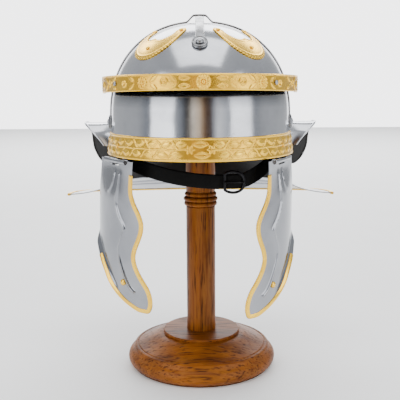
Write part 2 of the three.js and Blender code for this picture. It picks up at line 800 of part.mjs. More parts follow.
// Middle surface of a cheek guard: flat at the hinge, then bent round the face, with a flared lower edge
function cheekPoint(frame, along, drop, out) {
  const bend = smooth(cheekBendTop, cheekBendEnd, drop);
  const curve = Math.max(bend, 1e-6) / cheekBendRadius;
  const reach = along + cheekBendBack;
  const inset = Math.max(0, along - cheekEdges(drop)[0]);
  const share = drop / cheekLength;
  const flare = Math.max(0, 1 - inset / cheekFlareWidth) * smooth(0.5, 0.6, share) * smooth(0.97, 0.8, share);
  const level = (radius) => Math.sin(curve * reach) * radius - cheekBendBack;
  const rise = (Math.cos(curve * reach) - 1) / curve + cheekHang * bend + cheekFlare * flare;
  const tilt = curve * reach;
  const ahead = level(1 / curve) + frame.lean * drop + out * Math.sin(tilt);
  return inFrame(frame, ahead, drop, rise + out * Math.cos(tilt));
}

const cheekDrops = [
  -0.01, 0.04, 0.08, 0.14, 0.205, 0.28, 0.34, 0.39, 0.47, 0.59, 0.667, 0.75, 0.82, 0.885, 0.95, 1,
].map((share) => share * cheekLength);

function cheekRib(frame, path) {
  const half = cheekRibWidth / 2;
  const sections = path.map(([along, drop], i) => {
    const ends = i === 0 || i === path.length - 1;
    const top = ends ? cheekRibHeight / 3 : cheekRibHeight;
    const under = -reliefBite / 2;
    const places = [[-half, under], [-half * 0.4, top], [half * 0.4, top], [half, under]];
    return places.map(([x, y]) => (
      cheekPoint(frame, (along + x / cheekFront) * cheekFront, drop * cheekLength, sheetWall / 2 + y)));
  });
  return skin(sections, [[-1, 0], [-0.4, 1], [0.4, 1], [1, 0]].map(([x, y]) => new THREE.Vector2(x, y)));
}

// A bar along the hinge between two places in front of its middle, of the given [drop, out] outline
function hingeBar(frame, outline, from, to) {
  const sections = [from, to].map((along) => (
    outline.map(([drop, out]) => inFrame(frame, along, drop, out))));
  return skin(sections, outline.map(([drop, out]) => new THREE.Vector2(drop, out)));
}

function round(radius, corners) {
  return steps(0, 360, corners).slice(1).map((turn) => (
    [radius * Math.sin(turn * degrees), radius * Math.cos(turn * degrees)]));
}

function cheekGuardShape(frame) {
  const grid = (out) => cheekDrops.map((drop) => {
    const [rear, front] = cheekEdges(drop);
    const [inner, outer] = [rear + cheekFlareWidth, front - cheekEdging].map((along) => (
      Math.min(Math.max(along, lerp(rear, front, 0.1)), lerp(rear, front, 0.9))));
    return [rear, ...[0, 0.33, 0.67, 1].map((share) => lerp(inner, outer, share)), front].map((along) => (
      cheekPoint(frame, along, drop, out)));
  });
  const sheet = solidOf(wallBetween(grid(sheetWall / 2), grid(-sheetWall / 2)));
  const gap = leafHalf + clearance;
  const room = 1.5 * knuckleRadius;
  const block = [[-room, -room], [room, -room], [room, room], [-room, room]];
  const notch = solidOf(hingeBar(frame, block, -gap, gap));
  const knuckles = [[-knuckleHalf, -gap], [gap, knuckleHalf]].map(([from, to]) => (
    solidOf(hingeBar(frame, round(knuckleRadius, 10), from, to))));
  const bore = solidOf(hingeBar(frame, round(pinRadius + clearance, 10), -2 * knuckleHalf, 2 * knuckleHalf));
  const ribs = [
    [[0.21, 0.085], [0.17, 0.29], [0.4, 0.45], [0.26, 0.58], [0.36, 0.73], [0.49, 0.8], [0.62, 0.87]],
    [[0.01, 0.075], [0.0, 0.13], [-0.09, 0.19]],
  ].map((path) => solidOf(cheekRib(frame, path)));
  const body = [...knuckles, ...ribs].reduce((sum, solid) => sum.add(solid), sheet.subtract(notch));
  return geometryOf(body.subtract(bore));
}

// Edging folded over the front, tip and lower rear edge of a cheek guard
function cheekEdgingShape(frame) {
  const front = cheekDrops.slice(2).map((drop) => [cheekEdges(drop)[1], drop]);
  const rear = cheekDrops.slice(10).reverse().map((drop) => [cheekEdges(drop)[0], drop]);
  const path = [...front, ...rear];
  const frames = path.map(([along, drop], i) => {
    const [back, ahead] = [path[Math.max(0, i - 1)], path[Math.min(path.length - 1, i + 1)]];
    const into = new THREE.Vector2(along - back[0], drop - back[1]).normalize();
    const from = new THREE.Vector2(ahead[0] - along, ahead[1] - drop).normalize();
    const run = into.clone().add(from).normalize();
    const mitre = 1 / Math.max(0.6, Math.max(run.dot(into), run.dot(from)));
    return (x, y) => {
      const out = x * mitre + clearance / 2;
      return cheekPoint(frame, along + run.y * out, drop - run.x * out, y);
    };
  });
  return bindingShape(frames, sheetWall / 2 + clearance, cheekEdgingWall, cheekEdging);
}

// Outward distance from the hinge's axis to the inside of the bowl's wall
function wallAhead(frame, along, z) {
  const [halfWidth, halfDepth] = wallSection(z).map((half) => half - sheetWall);
  const { x, y } = inFrame(frame, along, 0, 0);
  const [dx, dy] = [frame.outward.x / halfWidth, frame.outward.y / halfDepth];
  const [px, py] = [x / halfWidth, y / halfDepth];
  const [a, b, c] = [dx * dx + dy * dy, px * dx + py * dy, px * px + py * py - 1];
  return (Math.sqrt(b * b - a * c) - b) / a;
}

// Hinge leaf: a knuckle between those of the cheek guard, on a plate that runs up inside the wall
function hingeLeafShape(frame) {
  const seat = (z) => Math.min(...[-leafHalf, 0, leafHalf].map((along) => wallAhead(frame, along, z)));
  const faces = [
    [hingeZ, sheetWall - knuckleRadius],
    ...[rimZ - 1, (rimZ + leafTopZ) / 2, leafTopZ].map((z) => [z, seat(Math.max(z, rimZ)) - 3 * clearance]),
  ];
  const sections = faces.map(([z, face]) => (
    [[-1, face], [1, face], [1, face - sheetWall], [-1, face - sheetWall]].map(([along, out]) => (
      inFrame(frame, along * leafHalf, hingeZ - z, out)))));
  const outline = [[-1, 1], [1, 1], [1, 0], [-1, 0]].map(([x, y]) => new THREE.Vector2(x, y));
  const knuckle = solidOf(hingeBar(frame, round(knuckleRadius, 10), -leafHalf, leafHalf));
  const bore = solidOf(hingeBar(frame, round(pinRadius + clearance, 10), -2 * leafHalf, 2 * leafHalf));
  return geometryOf(solidOf(skin(sections, outline)).add(knuckle).subtract(bore));
}

// Leather strap on edge along a smooth route
function chinStrapShape(route, count) {
  const curve = new THREE.CatmullRomCurve3(route.map(([x, y, z]) => new THREE.Vector3(x, y, z)));
  const corners = [[-0.5, -0.5], [0.5, -0.5], [0.5, 0.5], [-0.5, 0.5]];
  const sections = steps(0, 1, count).map((share) => {
    const point = curve.getPointAt(share);
    const tangent = curve.getTangentAt(share);
    const up = new THREE.Vector3(0, 0, 1).addScaledVector(tangent, -tangent.z).normalize();
    const face = tangent.clone().cross(up);
    return corners.map(([x, y]) => point.clone()
      .addScaledVector(up, x * leatherWidth)
      .addScaledVector(face, y * leatherWall));
  });
  return skin(sections, corners.map(([x, y]) => new THREE.Vector2(x, y)));
}

function buckleShape() {
  const ring = new THREE.TorusGeometry(1, 0.5, 6, 18);
  const position = ring.getAttribute('position');
  for (let i = 0; i < position.count; i += 1) {
    const [x, y, z] = [position.getX(i), position.getY(i), position.getZ(i)];
    const reach = Math.hypot(x, y);
    const [c, s] = [x / reach, y / reach];
    const wide = (reach - 1) * 2 * buckleWire;
    const barX = Math.max(c * buckleHalfWidth, -buckleHalfWidth * 0.72);
    position.setXYZ(i, barX + c * wide, -z * 2 * buckleWire, signedPower(s, 0.8) * buckleHalfHeight + s * wide);
  }
  ring.translate(buckleCentre.x, buckleCentre.y, buckleCentre.z);
  return geometryOf(solidOf(ring));
}

function prongShape() {
  const length = 2 * buckleHalfWidth * 0.98;
  const prong = new THREE.CylinderGeometry(prongRadius * 0.73, prongRadius, length, 6);
  prong.rotateZ(-Math.PI / 2);
  const out = buckleWire + clearance + prongRadius;
  const x = buckleCentre.x + 0.13 * buckleHalfWidth;
  return geometryOf(solidOf(prong.translate(x, buckleCentre.y - out, buckleCentre.z)));
}

// Turned wood: a profile of [radius, height] rows about the stand's axis
function turned(rows, sides) {
  const lathe = new THREE.LatheGeometry(rows.map(([r, z]) => new THREE.Vector2(r, z)), sides);
  return geometryOf(solidOf(lathe.rotateX(Math.PI / 2)));
}

function standBaseShape() {
  const [r, ridge, seat] = [footRadius, footRidgeRadius, postSeatRadius];
  return turned([
    [0, 0], [0.95 * r, 0], [r, 0.2 * postSeatZ], [0.985 * r, 0.36 * postSeatZ],
    [0.94 * r, 0.5 * postSeatZ], [ridge, footRidgeZ], [0.96 * ridge, 1.026 * footRidgeZ],
    [lerp(ridge, seat, 0.4), 0.75 * postSeatZ], [1.018 * seat, 0.9 * postSeatZ],
    [seat, postSeatZ], [0, postSeatZ],
  ], 30);
}

function standPostShape() {
  const capZ = crownZ - sheetWall - 1.5 * clearance;
  const beads = [[1, -0.5], [1.2, -0.353], [1.2, -0.118], [1, 0.029], [1.12, 0.147], [1.12, 0.353], [1, 0.471]];
  return turned([
    [0, postSeatZ + clearance], [postRadius, postSeatZ + clearance],
    ...beads.map(([wide, rise]) => [postRadius * wide, postBeadZ + rise * postBeadSpan]),
    [postRadius, capZ - 1.23 * capRadius], [capRadius, capZ - capRadius / 2],
    [capRadius, capZ - capRadius * capSlope], [0, capZ],
  ], 16);
}

const sides = [['right', 1], ['left', -1]];

add('stand_base', standBaseShape(), wood);
add('stand_post', standPostShape(), wood);
add('bowl', bowlShape(), steel);
add('neck_guard_binding', neckBindingShape(), brass);
add('rim_band', rimBandShape(), brass);
add('brow_guard', browGuardShape(), steel);
add('brow_band', browBandShape(), brass);
add('side_strap', strapShape(Math.PI / 2, sideStrapEnd, shoulderHalfWidth, sideStrapLift), strapSteel);
add('crown_strap', strapShape(0, crownStrapEnd, shoulderHalfDepth, crownStrapLift), strapSteel);

for (const [name, turn, elevation] of [
  ['right', 90, sideStrapEnd], ['left', -90, sideStrapEnd],
  ['front', 0, crownStrapEnd], ['rear', 180, crownStrapEnd],
]) {
  const seat = meridianPoint(turn * degrees, elevation, strapSeat + strapWall + clearance);
  const root = meridianPoint(turn * degrees, elevation, 0);
  const normal = meridianPoint(turn * degrees, elevation, 10).sub(root).normalize();
  add(`strap_rivet_${name}`, rivetShape(seat, normal, strapRivetRadius, strapRivetHeight), strapSteel);
}

const crescentTurns = [['front_right', 45], ['front_left', -45], ['rear_right', 135], ['rear_left', -135]];
for (const [name, turn] of crescentTurns) {
  add(`crescent_${name}`, crescentShape(turn * degrees), brass);
  [-0.92, 0, 0.92].forEach((share, i) => {
    const at = (out) => crescentAt(turn * degrees, share * crescentSweep, 0, out);
    const seat = at(crescentSeat + crescentWall + clearance);
    const normal = at(10).sub(at(0)).normalize();
    const head = rivetShape(seat, normal, crescentRivetRadius, crescentRivetRadius * 0.6);
    add(`crescent_rivet_${name}_${i + 1}`, head, brass);
  });
}

for (const [name, side] of sides) {
  add(`ear_guard_${name}`, earGuardShape(side), steel);
  const along = side * rimNailTurn * degrees * rimHalfDepth;
  const nailAt = (out) => rimBandPlace(along, bandHeight / 2, out);
  const nailNormal = nailAt(10).sub(nailAt(0)).normalize();
  const nailSeat = nailAt(bandSheet + clearance);
  add(`rim_nail_${name}`, rivetShape(nailSeat, nailNormal, rimNailRadius, rimNailRadius * 0.55), brass);
  const rivetAt = (out) => browPlace(side * browRivetTurn[name] * degrees * browReach, browMidHeight / 2, out);
  const browNormal = rivetAt(10).sub(rivetAt(0)).normalize();
  const browSeat = rivetAt(bandSheet + 2 * clearance);
  const browRivet = rivetShape(browSeat, browNormal, browRivetRadius, browRivetRadius * 0.7);
  add(`brow_rivet_${name}`, browRivet, strapSteel);
}

for (const [name, side] of sides) {
  const frame = cheekFrame({ side, toe: cheekToe[name], hingeX: hingeX[name] });
  add(`cheek_guard_${name}`, cheekGuardShape(frame), steel);
  add(`cheek_edging_${name}`, cheekEdgingShape(frame), brass);
  const [rivetShare, rivetDropShare] = cheekRivetPlace;
  const rivetAt = (out) => cheekPoint(frame, rivetShare * cheekFront, rivetDropShare * cheekLength, out);
  const normal = rivetAt(10).sub(rivetAt(0)).normalize();
  const seat = rivetAt(sheetWall / 2 + clearance);
  add(`cheek_rivet_${name}`, rivetShape(seat, normal, cheekRivetRadius, cheekRivetRadius * 0.7), brass);
  add(`hinge_leaf_${name}`, hingeLeafShape(frame), steel);
  const pin = hingeBar(frame, round(pinRadius, 8), -knuckleHalf - pinProud, knuckleHalf + pinProud);
  add(`hinge_pin_${name}`, geometryOf(solidOf(pin)), strapSteel);
}

// The two lengths of the chin strap, from the wall behind each hinge to the buckle
const chinLeftRoute = [
  [-95, -17, 249], [-88.5, -36, 246], [-80, -50, 241], [-66, -61, 235], [-48, -68, 229.5], [-28, -71.5, 224.5],
  [-6, -72.6, 221], [19.5, -72.6, 219],
];
const chinRightRoute = [
  [95, -17, 249], [87, -36, 247], [79, -50, 242], [68, -60, 234], [56, -67, 226], [44, -70.2, 220.5],
  [26, -70.2, 219], [6, -70.2, 220],
];
add('chin_strap_left', chinStrapShape(chinLeftRoute, 18), leather);
add('chin_strap_right', chinStrapShape(chinRightRoute, 16), leather);
add('chin_buckle', buckleShape(), strapSteel);
add('chin_buckle_prong', prongShape(), strapSteel);

export default helmet;
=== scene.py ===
import bpy
import bmesh
import numpy as np
from mathutils import Matrix


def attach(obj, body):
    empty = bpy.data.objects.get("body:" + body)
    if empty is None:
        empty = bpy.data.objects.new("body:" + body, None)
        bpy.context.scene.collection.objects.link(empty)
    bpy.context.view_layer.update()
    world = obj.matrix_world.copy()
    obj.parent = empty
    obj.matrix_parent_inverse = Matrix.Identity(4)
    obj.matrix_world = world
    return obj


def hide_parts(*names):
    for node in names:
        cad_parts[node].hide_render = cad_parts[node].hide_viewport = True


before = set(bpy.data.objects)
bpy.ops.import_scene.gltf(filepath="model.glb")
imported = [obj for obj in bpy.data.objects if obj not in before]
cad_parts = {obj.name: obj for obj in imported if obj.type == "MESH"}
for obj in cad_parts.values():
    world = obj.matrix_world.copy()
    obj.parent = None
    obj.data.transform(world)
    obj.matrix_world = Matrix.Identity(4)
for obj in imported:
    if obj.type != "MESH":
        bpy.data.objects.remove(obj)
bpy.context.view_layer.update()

# The table, the camera and the light. The table is a plain pale sheet. The light is a soft white room
# with a panel at each side, above and behind, and the camera stands at the brow, looking slightly down.
MM = 0.001


def tone(code):
    """Linear colour of a six-digit hex code."""
    parts = [int(code[i:i + 2], 16) / 255 for i in (0, 2, 4)]
    return tuple(c / 12.92 if c < 0.04045 else ((c + 0.055) / 1.055) ** 2.4 for c in parts) + (1.0,)


class Shade:
    """A socket in one material's nodes that takes arithmetic; node() puts any other node behind it."""

    def __init__(self, tree, socket=None):
        self.tree = tree
        self.socket = socket

    def node(self, kind, settings=None, inputs=None, output=0):
        made = self.tree.nodes.new(kind)
        for name, value in (settings or {}).items():
            if name == "stops":
                ramp = made.color_ramp.elements
                while len(ramp) < len(value):
                    ramp.new(0.5)
                for stop, (place, colour) in zip(ramp, value):
                    stop.position = place
                    stop.color = colour
            else:
                setattr(made, name, value)
        for name, value in (inputs or {}).items():
            if isinstance(value, Shade):
                self.tree.links.new(value.socket, made.inputs[name])
            else:
                made.inputs[name].default_value = value
        return Shade(self.tree, made.outputs[output])

    def maths(self, operation, a, b):
        return self.node("ShaderNodeMath", {"operation": operation}, {0: a, 1: b})

    def __add__(self, other):
        return self.maths("ADD", self, other)

    __radd__ = __add__

    def __sub__(self, other):
        return self.maths("SUBTRACT", self, other)

    def __rsub__(self, other):
        return self.maths("SUBTRACT", other, self)

    def __mul__(self, other):
        return self.maths("MULTIPLY", self, other)

    __rmul__ = __mul__

    def held(self, low, high):
        """This value from low to high, stretched to 0 to 1 and cut off there."""
        return self.node("ShaderNodeMapRange", {"clamp": True}, {0: self, 1: low, 2: high})

    def mix(self, a, b):
        """Colour a where this value is 0, and b where it is 1."""
        return self.node("ShaderNodeMix", {"data_type": "RGBA"}, {0: self, 6: a, 7: b}, 2)

    def noise(self, scale, detail=4.0, rough=0.55, stretch=(1, 1, 1)):
        """Cloud pattern of so many features to a metre, drawn out by the stretch along X, Y and Z."""
        place = self.node("ShaderNodeTexCoord", output=3)
        place = self.node("ShaderNodeMapping", {}, {0: place, 3: stretch})
        return self.node("ShaderNodeTexNoise", {}, {"Vector": place, "Scale": scale, "Detail": detail,
                                                    "Roughness": rough})

    def carried(self, name):
        """A number that the mesh carries at each of its points."""
        return self.node("ShaderNodeAttribute", {"attribute_name": name}, output=2)


def finish(name, paint, constants=None):
    """A material: paint(shade) gives its varying sockets, and constants set the ones that don't vary."""
    material = bpy.data.materials.new(name)
    material.use_nodes = True
    tree = material.node_tree
    surface = tree.nodes["Principled BSDF"]
    for socket, value in (constants or {}).items():
        surface.inputs[socket].default_value = value
    for socket, value in paint(Shade(tree)).items():
        if isinstance(value, Shade):
            tree.links.new(value.socket, surface.inputs[socket])
        else:
            surface.inputs[socket].default_value = value
    return material


def piece(name, points, faces, material, carried=None, sharp=38):
    """Mesh from points in millimetres and four-cornered faces, with doubled points and empty faces removed."""
    mesh = bpy.data.meshes.new(name)
    mesh.vertices.add(len(points))
    mesh.vertices.foreach_set("co", (np.asarray(points, dtype=np.float64) * MM).ravel())
    mesh.loops.add(faces.size)
    mesh.loops.foreach_set("vertex_index", faces.ravel().astype(np.int32))
    mesh.polygons.add(len(faces))
    mesh.polygons.foreach_set("loop_start", np.arange(0, faces.size, faces.shape[1], dtype=np.int32))
    mesh.update(calc_edges=True)
    for key, value in (carried or {}).items():
        layer = mesh.attributes.new(key, "FLOAT", "POINT")
        layer.data.foreach_set("value", np.asarray(value, dtype=np.float32).ravel())
    work = bmesh.new()
    work.from_mesh(mesh)
    bmesh.ops.remove_doubles(work, verts=work.verts, dist=2e-6)
    bmesh.ops.dissolve_degenerate(work, edges=work.edges, dist=1e-7)
    if work.calc_volume(signed=True) < 0 and material.name != "table":
        bmesh.ops.reverse_faces(work, faces=work.faces)
    work.to_mesh(mesh)
    work.free()
    mesh.shade_smooth()
    mesh.set_sharp_from_angle(angle=np.radians(sharp))
    mesh.materials.append(material)
    made = bpy.data.objects.new(name, mesh)
    bpy.context.collection.objects.link(made)
    return made


def quads(rows, columns, wrap_rows=False, wrap_columns=False):
    """Corner numbers of the faces of a grid, which may close on itself either way."""
    r = np.arange(rows if wrap_rows else rows - 1)[:, None]
    c = np.arange(columns if wrap_columns else columns - 1)[None, :]
    r2 = (r + 1) % rows
    c2 = (c + 1) % columns
    corner = [r * columns + c, r * columns + c2, r2 * columns + c2, r2 * columns + c]
    return np.stack([np.broadcast_to(k, (r.size, c.size)) for k in corner], axis=-1).reshape(-1, 4)


def pale(shade):
    dapple = shade.noise(9.0)
    return {"Base Color": dapple.mix(tone("f7f8f9"), tone("ffffff")), "Roughness": dapple * 0.1 + 0.55}


table_edge = np.linspace(-3000, 3000, 13)
table_y, table_x = np.meshgrid(table_edge + 1500, table_edge, indexing="ij")
table_points = np.stack([table_x, table_y, table_x * 0], axis=-1).reshape(-1, 3)
table = piece("table", table_points, quads(13, 13), finish("table", pale))

camera_data = bpy.data.cameras.new("camera")
camera_data.lens = 63.0
camera_data.sensor_width = 36.0
camera = bpy.data.objects.new("camera", camera_data)
camera.matrix_world = (Matrix.Translation((-0.0007, -0.780, 0.3165))
                       @ Matrix.Rotation(np.radians(90 - 9.3), 4, "X")
                       @ Matrix.Rotation(np.radians(-0.35), 4, "Z"))
bpy.context.collection.objects.link(camera)
bpy.context.scene.camera = camera


def unit(vector):
    """Each vector over its own length."""
    return vector / np.linalg.norm(vector, axis=-1, keepdims=True)


def lamp(name, place, aim, size, power):
    data = bpy.data.lights.new(name, "AREA")
    data.shape = "RECTANGLE"
    data.size, data.size_y = size
    data.energy = power
    made = bpy.data.objects.new(name, data)
    ahead = unit(np.subtract(aim, place))
    side = unit(np.cross(ahead, (0, 0, 1)))
    up = np.cross(side, ahead)
    axes = np.eye(4)
    axes[:3, 0], axes[:3, 1], axes[:3, 2], axes[:3, 3] = side, up, -ahead, place
    made.matrix_world = Matrix(axes.tolist())
    bpy.context.collection.objects.link(made)


lamp("panel_left", (-1.1, -0.9, 0.75), (0, 0, 0.25), (0.9, 1.3), 12)
lamp("panel_right", (1.15, -0.8, 0.7), (0, 0, 0.25), (0.8, 1.3), 10)
lamp("panel_top", (0.0, -0.1, 1.5), (0, 0, 0.2), (1.1, 1.1), 10)
lamp("panel_behind", (0.0, 2.6, 2.2), (0, 2.5, 0), (4.0, 2.0), 170)

world = bpy.data.worlds.new("room")
world.use_nodes = True
bpy.context.scene.world = world
room = Shade(world.node_tree)
looking = room.node("ShaderNodeTexCoord", output=0)
east, north, height = (room.node("ShaderNodeSeparateXYZ", {}, {0: looking}, axis) for axis in range(3))
band = room.maths("ARCTAN2", east, -1.0 * north).held(-np.radians(75), np.radians(75))
stripes = [(0.0, "7f838a"), (0.12, "6e7278"), (0.24, "a3a7ad"), (0.33, "83878d"), (0.365, "2d2e32"),
           (0.405, "383431"), (0.425, "fff3e0"), (0.49, "ffe4c2"), (0.525, "96704a"), (0.555, "4a2e19"),
           (0.6, "3c271a"), (0.622, "94979d"), (0.66, "ffffff"), (0.74, "cdd0d5"), (0.79, "767a81"),
           (0.9, "6b6f75"), (1.0, "7f838a")]
ahead_glow = room.node("ShaderNodeValToRGB", {"stops": [(at, tone(code)) for at, code in stripes]}, {0: band})
facing = (-1.0 * north).held(0.0, 0.25) * (1.0 - height.held(0.45, 0.8)) * height.held(-0.5, -0.2)
behind = north.held(0.88, 0.96).mix((0.46, 0.47, 0.48, 1.0), (2.7, 2.7, 2.75, 1.0))
glow = facing.mix(behind, ahead_glow)
background = world.node_tree.nodes["Background"]
world.node_tree.links.new(glow.socket, background.inputs["Color"])
background.inputs["Strength"].default_value = 1.5


# The turned foot of the stand. It is one disc of oiled hardwood, faced flat underneath and turned
# with a bulging edge, a bead, an ogee that rises to a flat, and a step where the post stands.
def flowing(rows, keys):
    """Smooth curve through rows of (key, value): cubic pieces sloped as the rows' neighbours are."""
    at, value = np.array(rows, dtype=float).T
    slope = np.gradient(value, at)
    i = np.clip(np.searchsorted(at, keys, side="right") - 1, 0, len(at) - 2)
    span = at[i + 1] - at[i]
    t = np.clip((keys - at[i]) / span, 0, 1)
    return ((2 * t**3 - 3 * t**2 + 1) * value[i] + (t**3 - 2 * t**2 + t) * span * slope[i]
            + (3 * t**2 - 2 * t**3) * value[i + 1] + (t**3 - t**2) * span * slope[i + 1])


def revolved(name, profile, seat, axis, sides, material, sharp=38):
    """Turned shape: rows of (radius, height) carried round an axis that leaves the seat."""
    axis = unit(np.array(axis, dtype=float))
    side = unit(np.cross(axis, (0.31, 0.17, 0.93)))
    other = np.cross(axis, side)
    radius, rise = np.array(profile, dtype=float).T
    angle = np.linspace(0, 2 * np.pi, sides, endpoint=False)
    ring = np.cos(angle)[None, :, None] * side + np.sin(angle)[None, :, None] * other
    points = np.array(seat) + radius[:, None, None] * ring + rise[:, None, None] * axis
    return piece(name, points.reshape(-1, 3), quads(len(radius), sides, wrap_columns=True), material, sharp=sharp)


def bump(shade, height, depth, strength=1.0):
    """Normal of a height pattern that is so many metres deep."""
    return shade.node("ShaderNodeBump", {}, {"Strength": strength, "Distance": depth, "Height": height})


def hardwood(turned_along):
    stretch = (1, 1, 0.06) if turned_along == "Z" else (0.07, 1, 1)

    def paint(shade):
        figure = shade.noise(26.0, 6.0, 0.6, stretch)
        fibre = shade.noise(330.0, 5.0, 0.65, stretch)
        pore = shade.noise(560.0, 2.0, 0.5, stretch).held(0.55, 0.66)
        cloud = shade.noise(14.0, 3.0, stretch=(1, 1, 0.5)).held(0.35, 0.68)
        grain = figure.node("ShaderNodeValToRGB", {"stops": [
            (0.30, tone("2f1203")), (0.42, tone("5e2b08")), (0.52, tone("945114")), (0.62, tone("66340a")),
            (0.74, tone("a5661f"))]}, {0: figure})
        warm = (fibre.held(0.35, 0.68) * 0.55).mix(grain, tone("ad6d28"))
        deep = (cloud * 0.55).mix(warm, tone("451c05"))
        colour = (pore * 0.75).mix(deep, tone("200b02"))
        relief = fibre * 0.6 - pore * 0.8
        return {"Base Color": colour, "Roughness": fibre * 0.18 + 0.3 + pore * 0.2,
                "Normal": bump(shade, relief, 0.00012, 0.7)}

    return finish("hardwood_" + turned_along.lower(), paint,
                  {"Coat Weight": 0.04, "Coat Roughness": 0.25, "Specular IOR Level": 0.12})


FOOT_RADIUS, FOOT_RIDGE, RIDGE_Z, SEAT_RADIUS, SEAT_Z = 84.5, 76.0, 22.9, 43.7, 38.8
edge = np.radians(np.linspace(-64, 52, 26))
foot_profile = [(0, 0), (FOOT_RADIUS - 6, 0), (FOOT_RADIUS - 4.6, 0.5)]
foot_profile += [(FOOT_RADIUS - 12.5 + 12.5 * np.cos(a), 9.2 + 10.2 * np.sin(a)) for a in edge]
foot_profile += [(FOOT_RIDGE + 1.6, 20.4), (FOOT_RIDGE + 1.2, 21.9), (FOOT_RIDGE, RIDGE_Z), (FOOT_RIDGE - 1.6, 23.3),
                 (FOOT_RIDGE - 2.4, 22.8), (FOOT_RIDGE - 3.2, 23.0)]
ogee = np.linspace(FOOT_RIDGE - 3.6, SEAT_RADIUS + 1.6, 26)
ogee_rows = [(SEAT_RADIUS, 35.6), (50, 33.6), (58, 29.6), (66, 25.9), (FOOT_RIDGE - 3, 23.3)]
foot_profile += list(zip(ogee, flowing(ogee_rows, ogee)))
foot_profile += [(SEAT_RADIUS + 0.9, 35.0), (SEAT_RADIUS - 0.4, 35.2), (SEAT_RADIUS, 36.2),
                 (SEAT_RADIUS, SEAT_Z - 0.9), (SEAT_RADIUS - 0.8, SEAT_Z), (0, SEAT_Z)]
foot = revolved("turned_foot", foot_profile, (0, 0, 0), (0, 0, 1), 144, hardwood("X"))
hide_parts("stand_base")
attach(foot, "helmet")

# The turned post. One length of the same wood with a pair of beads near its head, and a domed cap
# inside the crown that the bowl rests on. It is pegged into the foot.
POST_RADIUS, CAP_RADIUS, CAP_TOP = 16.4, 26.0, 381.35
bead = np.radians(np.linspace(-80, 80, 9))
post_profile = [(0, SEAT_Z + 0.3), (POST_RADIUS, SEAT_Z + 0.3), (POST_RADIUS, 182.0), (POST_RADIUS - 1.0, 182.6),
                (POST_RADIUS - 1.0, 183.2)]
POST_BEADS = [(0.6, 185.6, 1.6, 2.2, 0.8, 188.3), (0.9, 190.9, 2.0, 2.3, 0.6, 193.7),
              (0.2, 196.3, 1.4, 2.0, 0.4, 199.0)]
for out, z, size, tall, groove, groove_z in POST_BEADS:
    post_profile += [(POST_RADIUS + out + size * np.cos(a), z + tall * np.sin(a)) for a in bead]
    post_profile += [(POST_RADIUS - groove, groove_z)]
post_profile += [(POST_RADIUS, 199.8), (POST_RADIUS, CAP_TOP - 32)]
cap = np.linspace(CAP_RADIUS, 0, 16)
post_profile += [(CAP_RADIUS, CAP_TOP - 13)] + [(r, CAP_TOP - 3.4 * (r / CAP_RADIUS) ** 2) for r in cap]
post = revolved("turned_post", post_profile, (0, 0, 0), (0, 0, 1), 96, hardwood("Z"))
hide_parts("stand_post")
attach(post, "helmet")

# The bowl. One raised sheet of steel, polished outside and blackened inside, with arches cut for the
# ears. Above the shoulder it is a dome, below it a wall that widens to the rim and squares off at the nape.
CROWN_Z, SHOULDER_Z, RIM_Z, NAPE_Z, SHEET = 383.0, 283.0, 244.0, 203.0, 1.2
DOME_X, DOME_Y, DOME_POWER = 97.0, 109.0, 2.2


def smooth(low, high, value):
    """Zero below low, one above high, and an even S-shaped rise between them."""
    t = np.clip((value - low) / (high - low), 0, 1)
    return t * t * (3 - 2 * t)


def powered(value, power):
    """A power of the size, with the sign kept."""
    return np.sign(value) * np.abs(value) ** power


def wall_shape(z):
    """Half width, half depth and power of the wall at a height: an ellipse, squarer towards the nape."""
    flare = np.clip((SHOULDER_Z - z) / (SHOULDER_Z - RIM_Z), 0, 1) ** 1.6
    drop = np.clip((RIM_Z - z) / (RIM_Z - NAPE_Z), 0, 1)
    return (np.where(z >= RIM_Z, DOME_X + 4 * flare, DOME_X + 4 + 3 * drop),
            np.where(z >= RIM_Z, DOME_Y + 5 * flare, DOME_Y + 5 - 9 * drop), 2 + smooth(0, 1, drop))


def wall(turn, z):
    """Point of the wall at a height; turn 0 is the front."""
    half_width, half_depth, power = wall_shape(z)
    return np.stack([half_width * powered(np.sin(turn), 2 / power),
                     -half_depth * powered(np.cos(turn), 2 / power), z + 0 * turn], axis=-1)


def dome(turn, elevation):
    """Point of the dome: a superellipse turned on an ellipse."""
    spread = np.clip(np.cos(elevation), 0, 1) ** (2 / DOME_POWER)
    rise = SHOULDER_Z + (CROWN_Z - SHOULDER_Z) * np.sin(elevation) ** (2 / DOME_POWER)
    return np.stack([DOME_X * spread * np.sin(turn), -DOME_Y * spread * np.cos(turn), rise + 0 * turn], axis=-1)


def outward(surface, a, b):
    """Unit normal of a surface of two values, pointing away from the middle of the bowl."""
    step = 1e-3
    normal = np.cross(surface(a + step, b) - surface(a - step, b), surface(a, b + step) - surface(a, b - step))
    normal /= np.maximum(np.linalg.norm(normal, axis=-1, keepdims=True), 1e-12)
    away = np.sum(normal * (surface(a, b) - np.array([0, 0, SHOULDER_Z])), axis=-1, keepdims=True)
    return normal * np.where(away < 0, -1, 1)


def off(surface, a, b, distance):
    """Point at a distance out from a surface."""
    return surface(a, b) + np.asarray(distance)[..., None] * outward(surface, a, b)


def turn_at(y, z):
    """Turn of the wall's point with this y at this height, on the right."""
    _, half_depth, power = wall_shape(z)
    return np.arccos(np.clip(powered(-y / half_depth, power / 2), -1, 1))


def ear_edge(sweep):
    """y and z of the ear arch's edge, from its front foot at 0 to its rear foot at 180 degrees."""
    angle = np.radians(sweep)
    reach = powered(np.cos(angle), 2 / 2.5)
    rise = np.clip(np.sin(angle), 0, 1) ** (2 / 2.5)
    front = sweep < 90
    return 27 - reach * np.where(front, 22, 24), np.where(front, RIM_Z, NAPE_Z) * (1 - rise) + 276.5 * rise


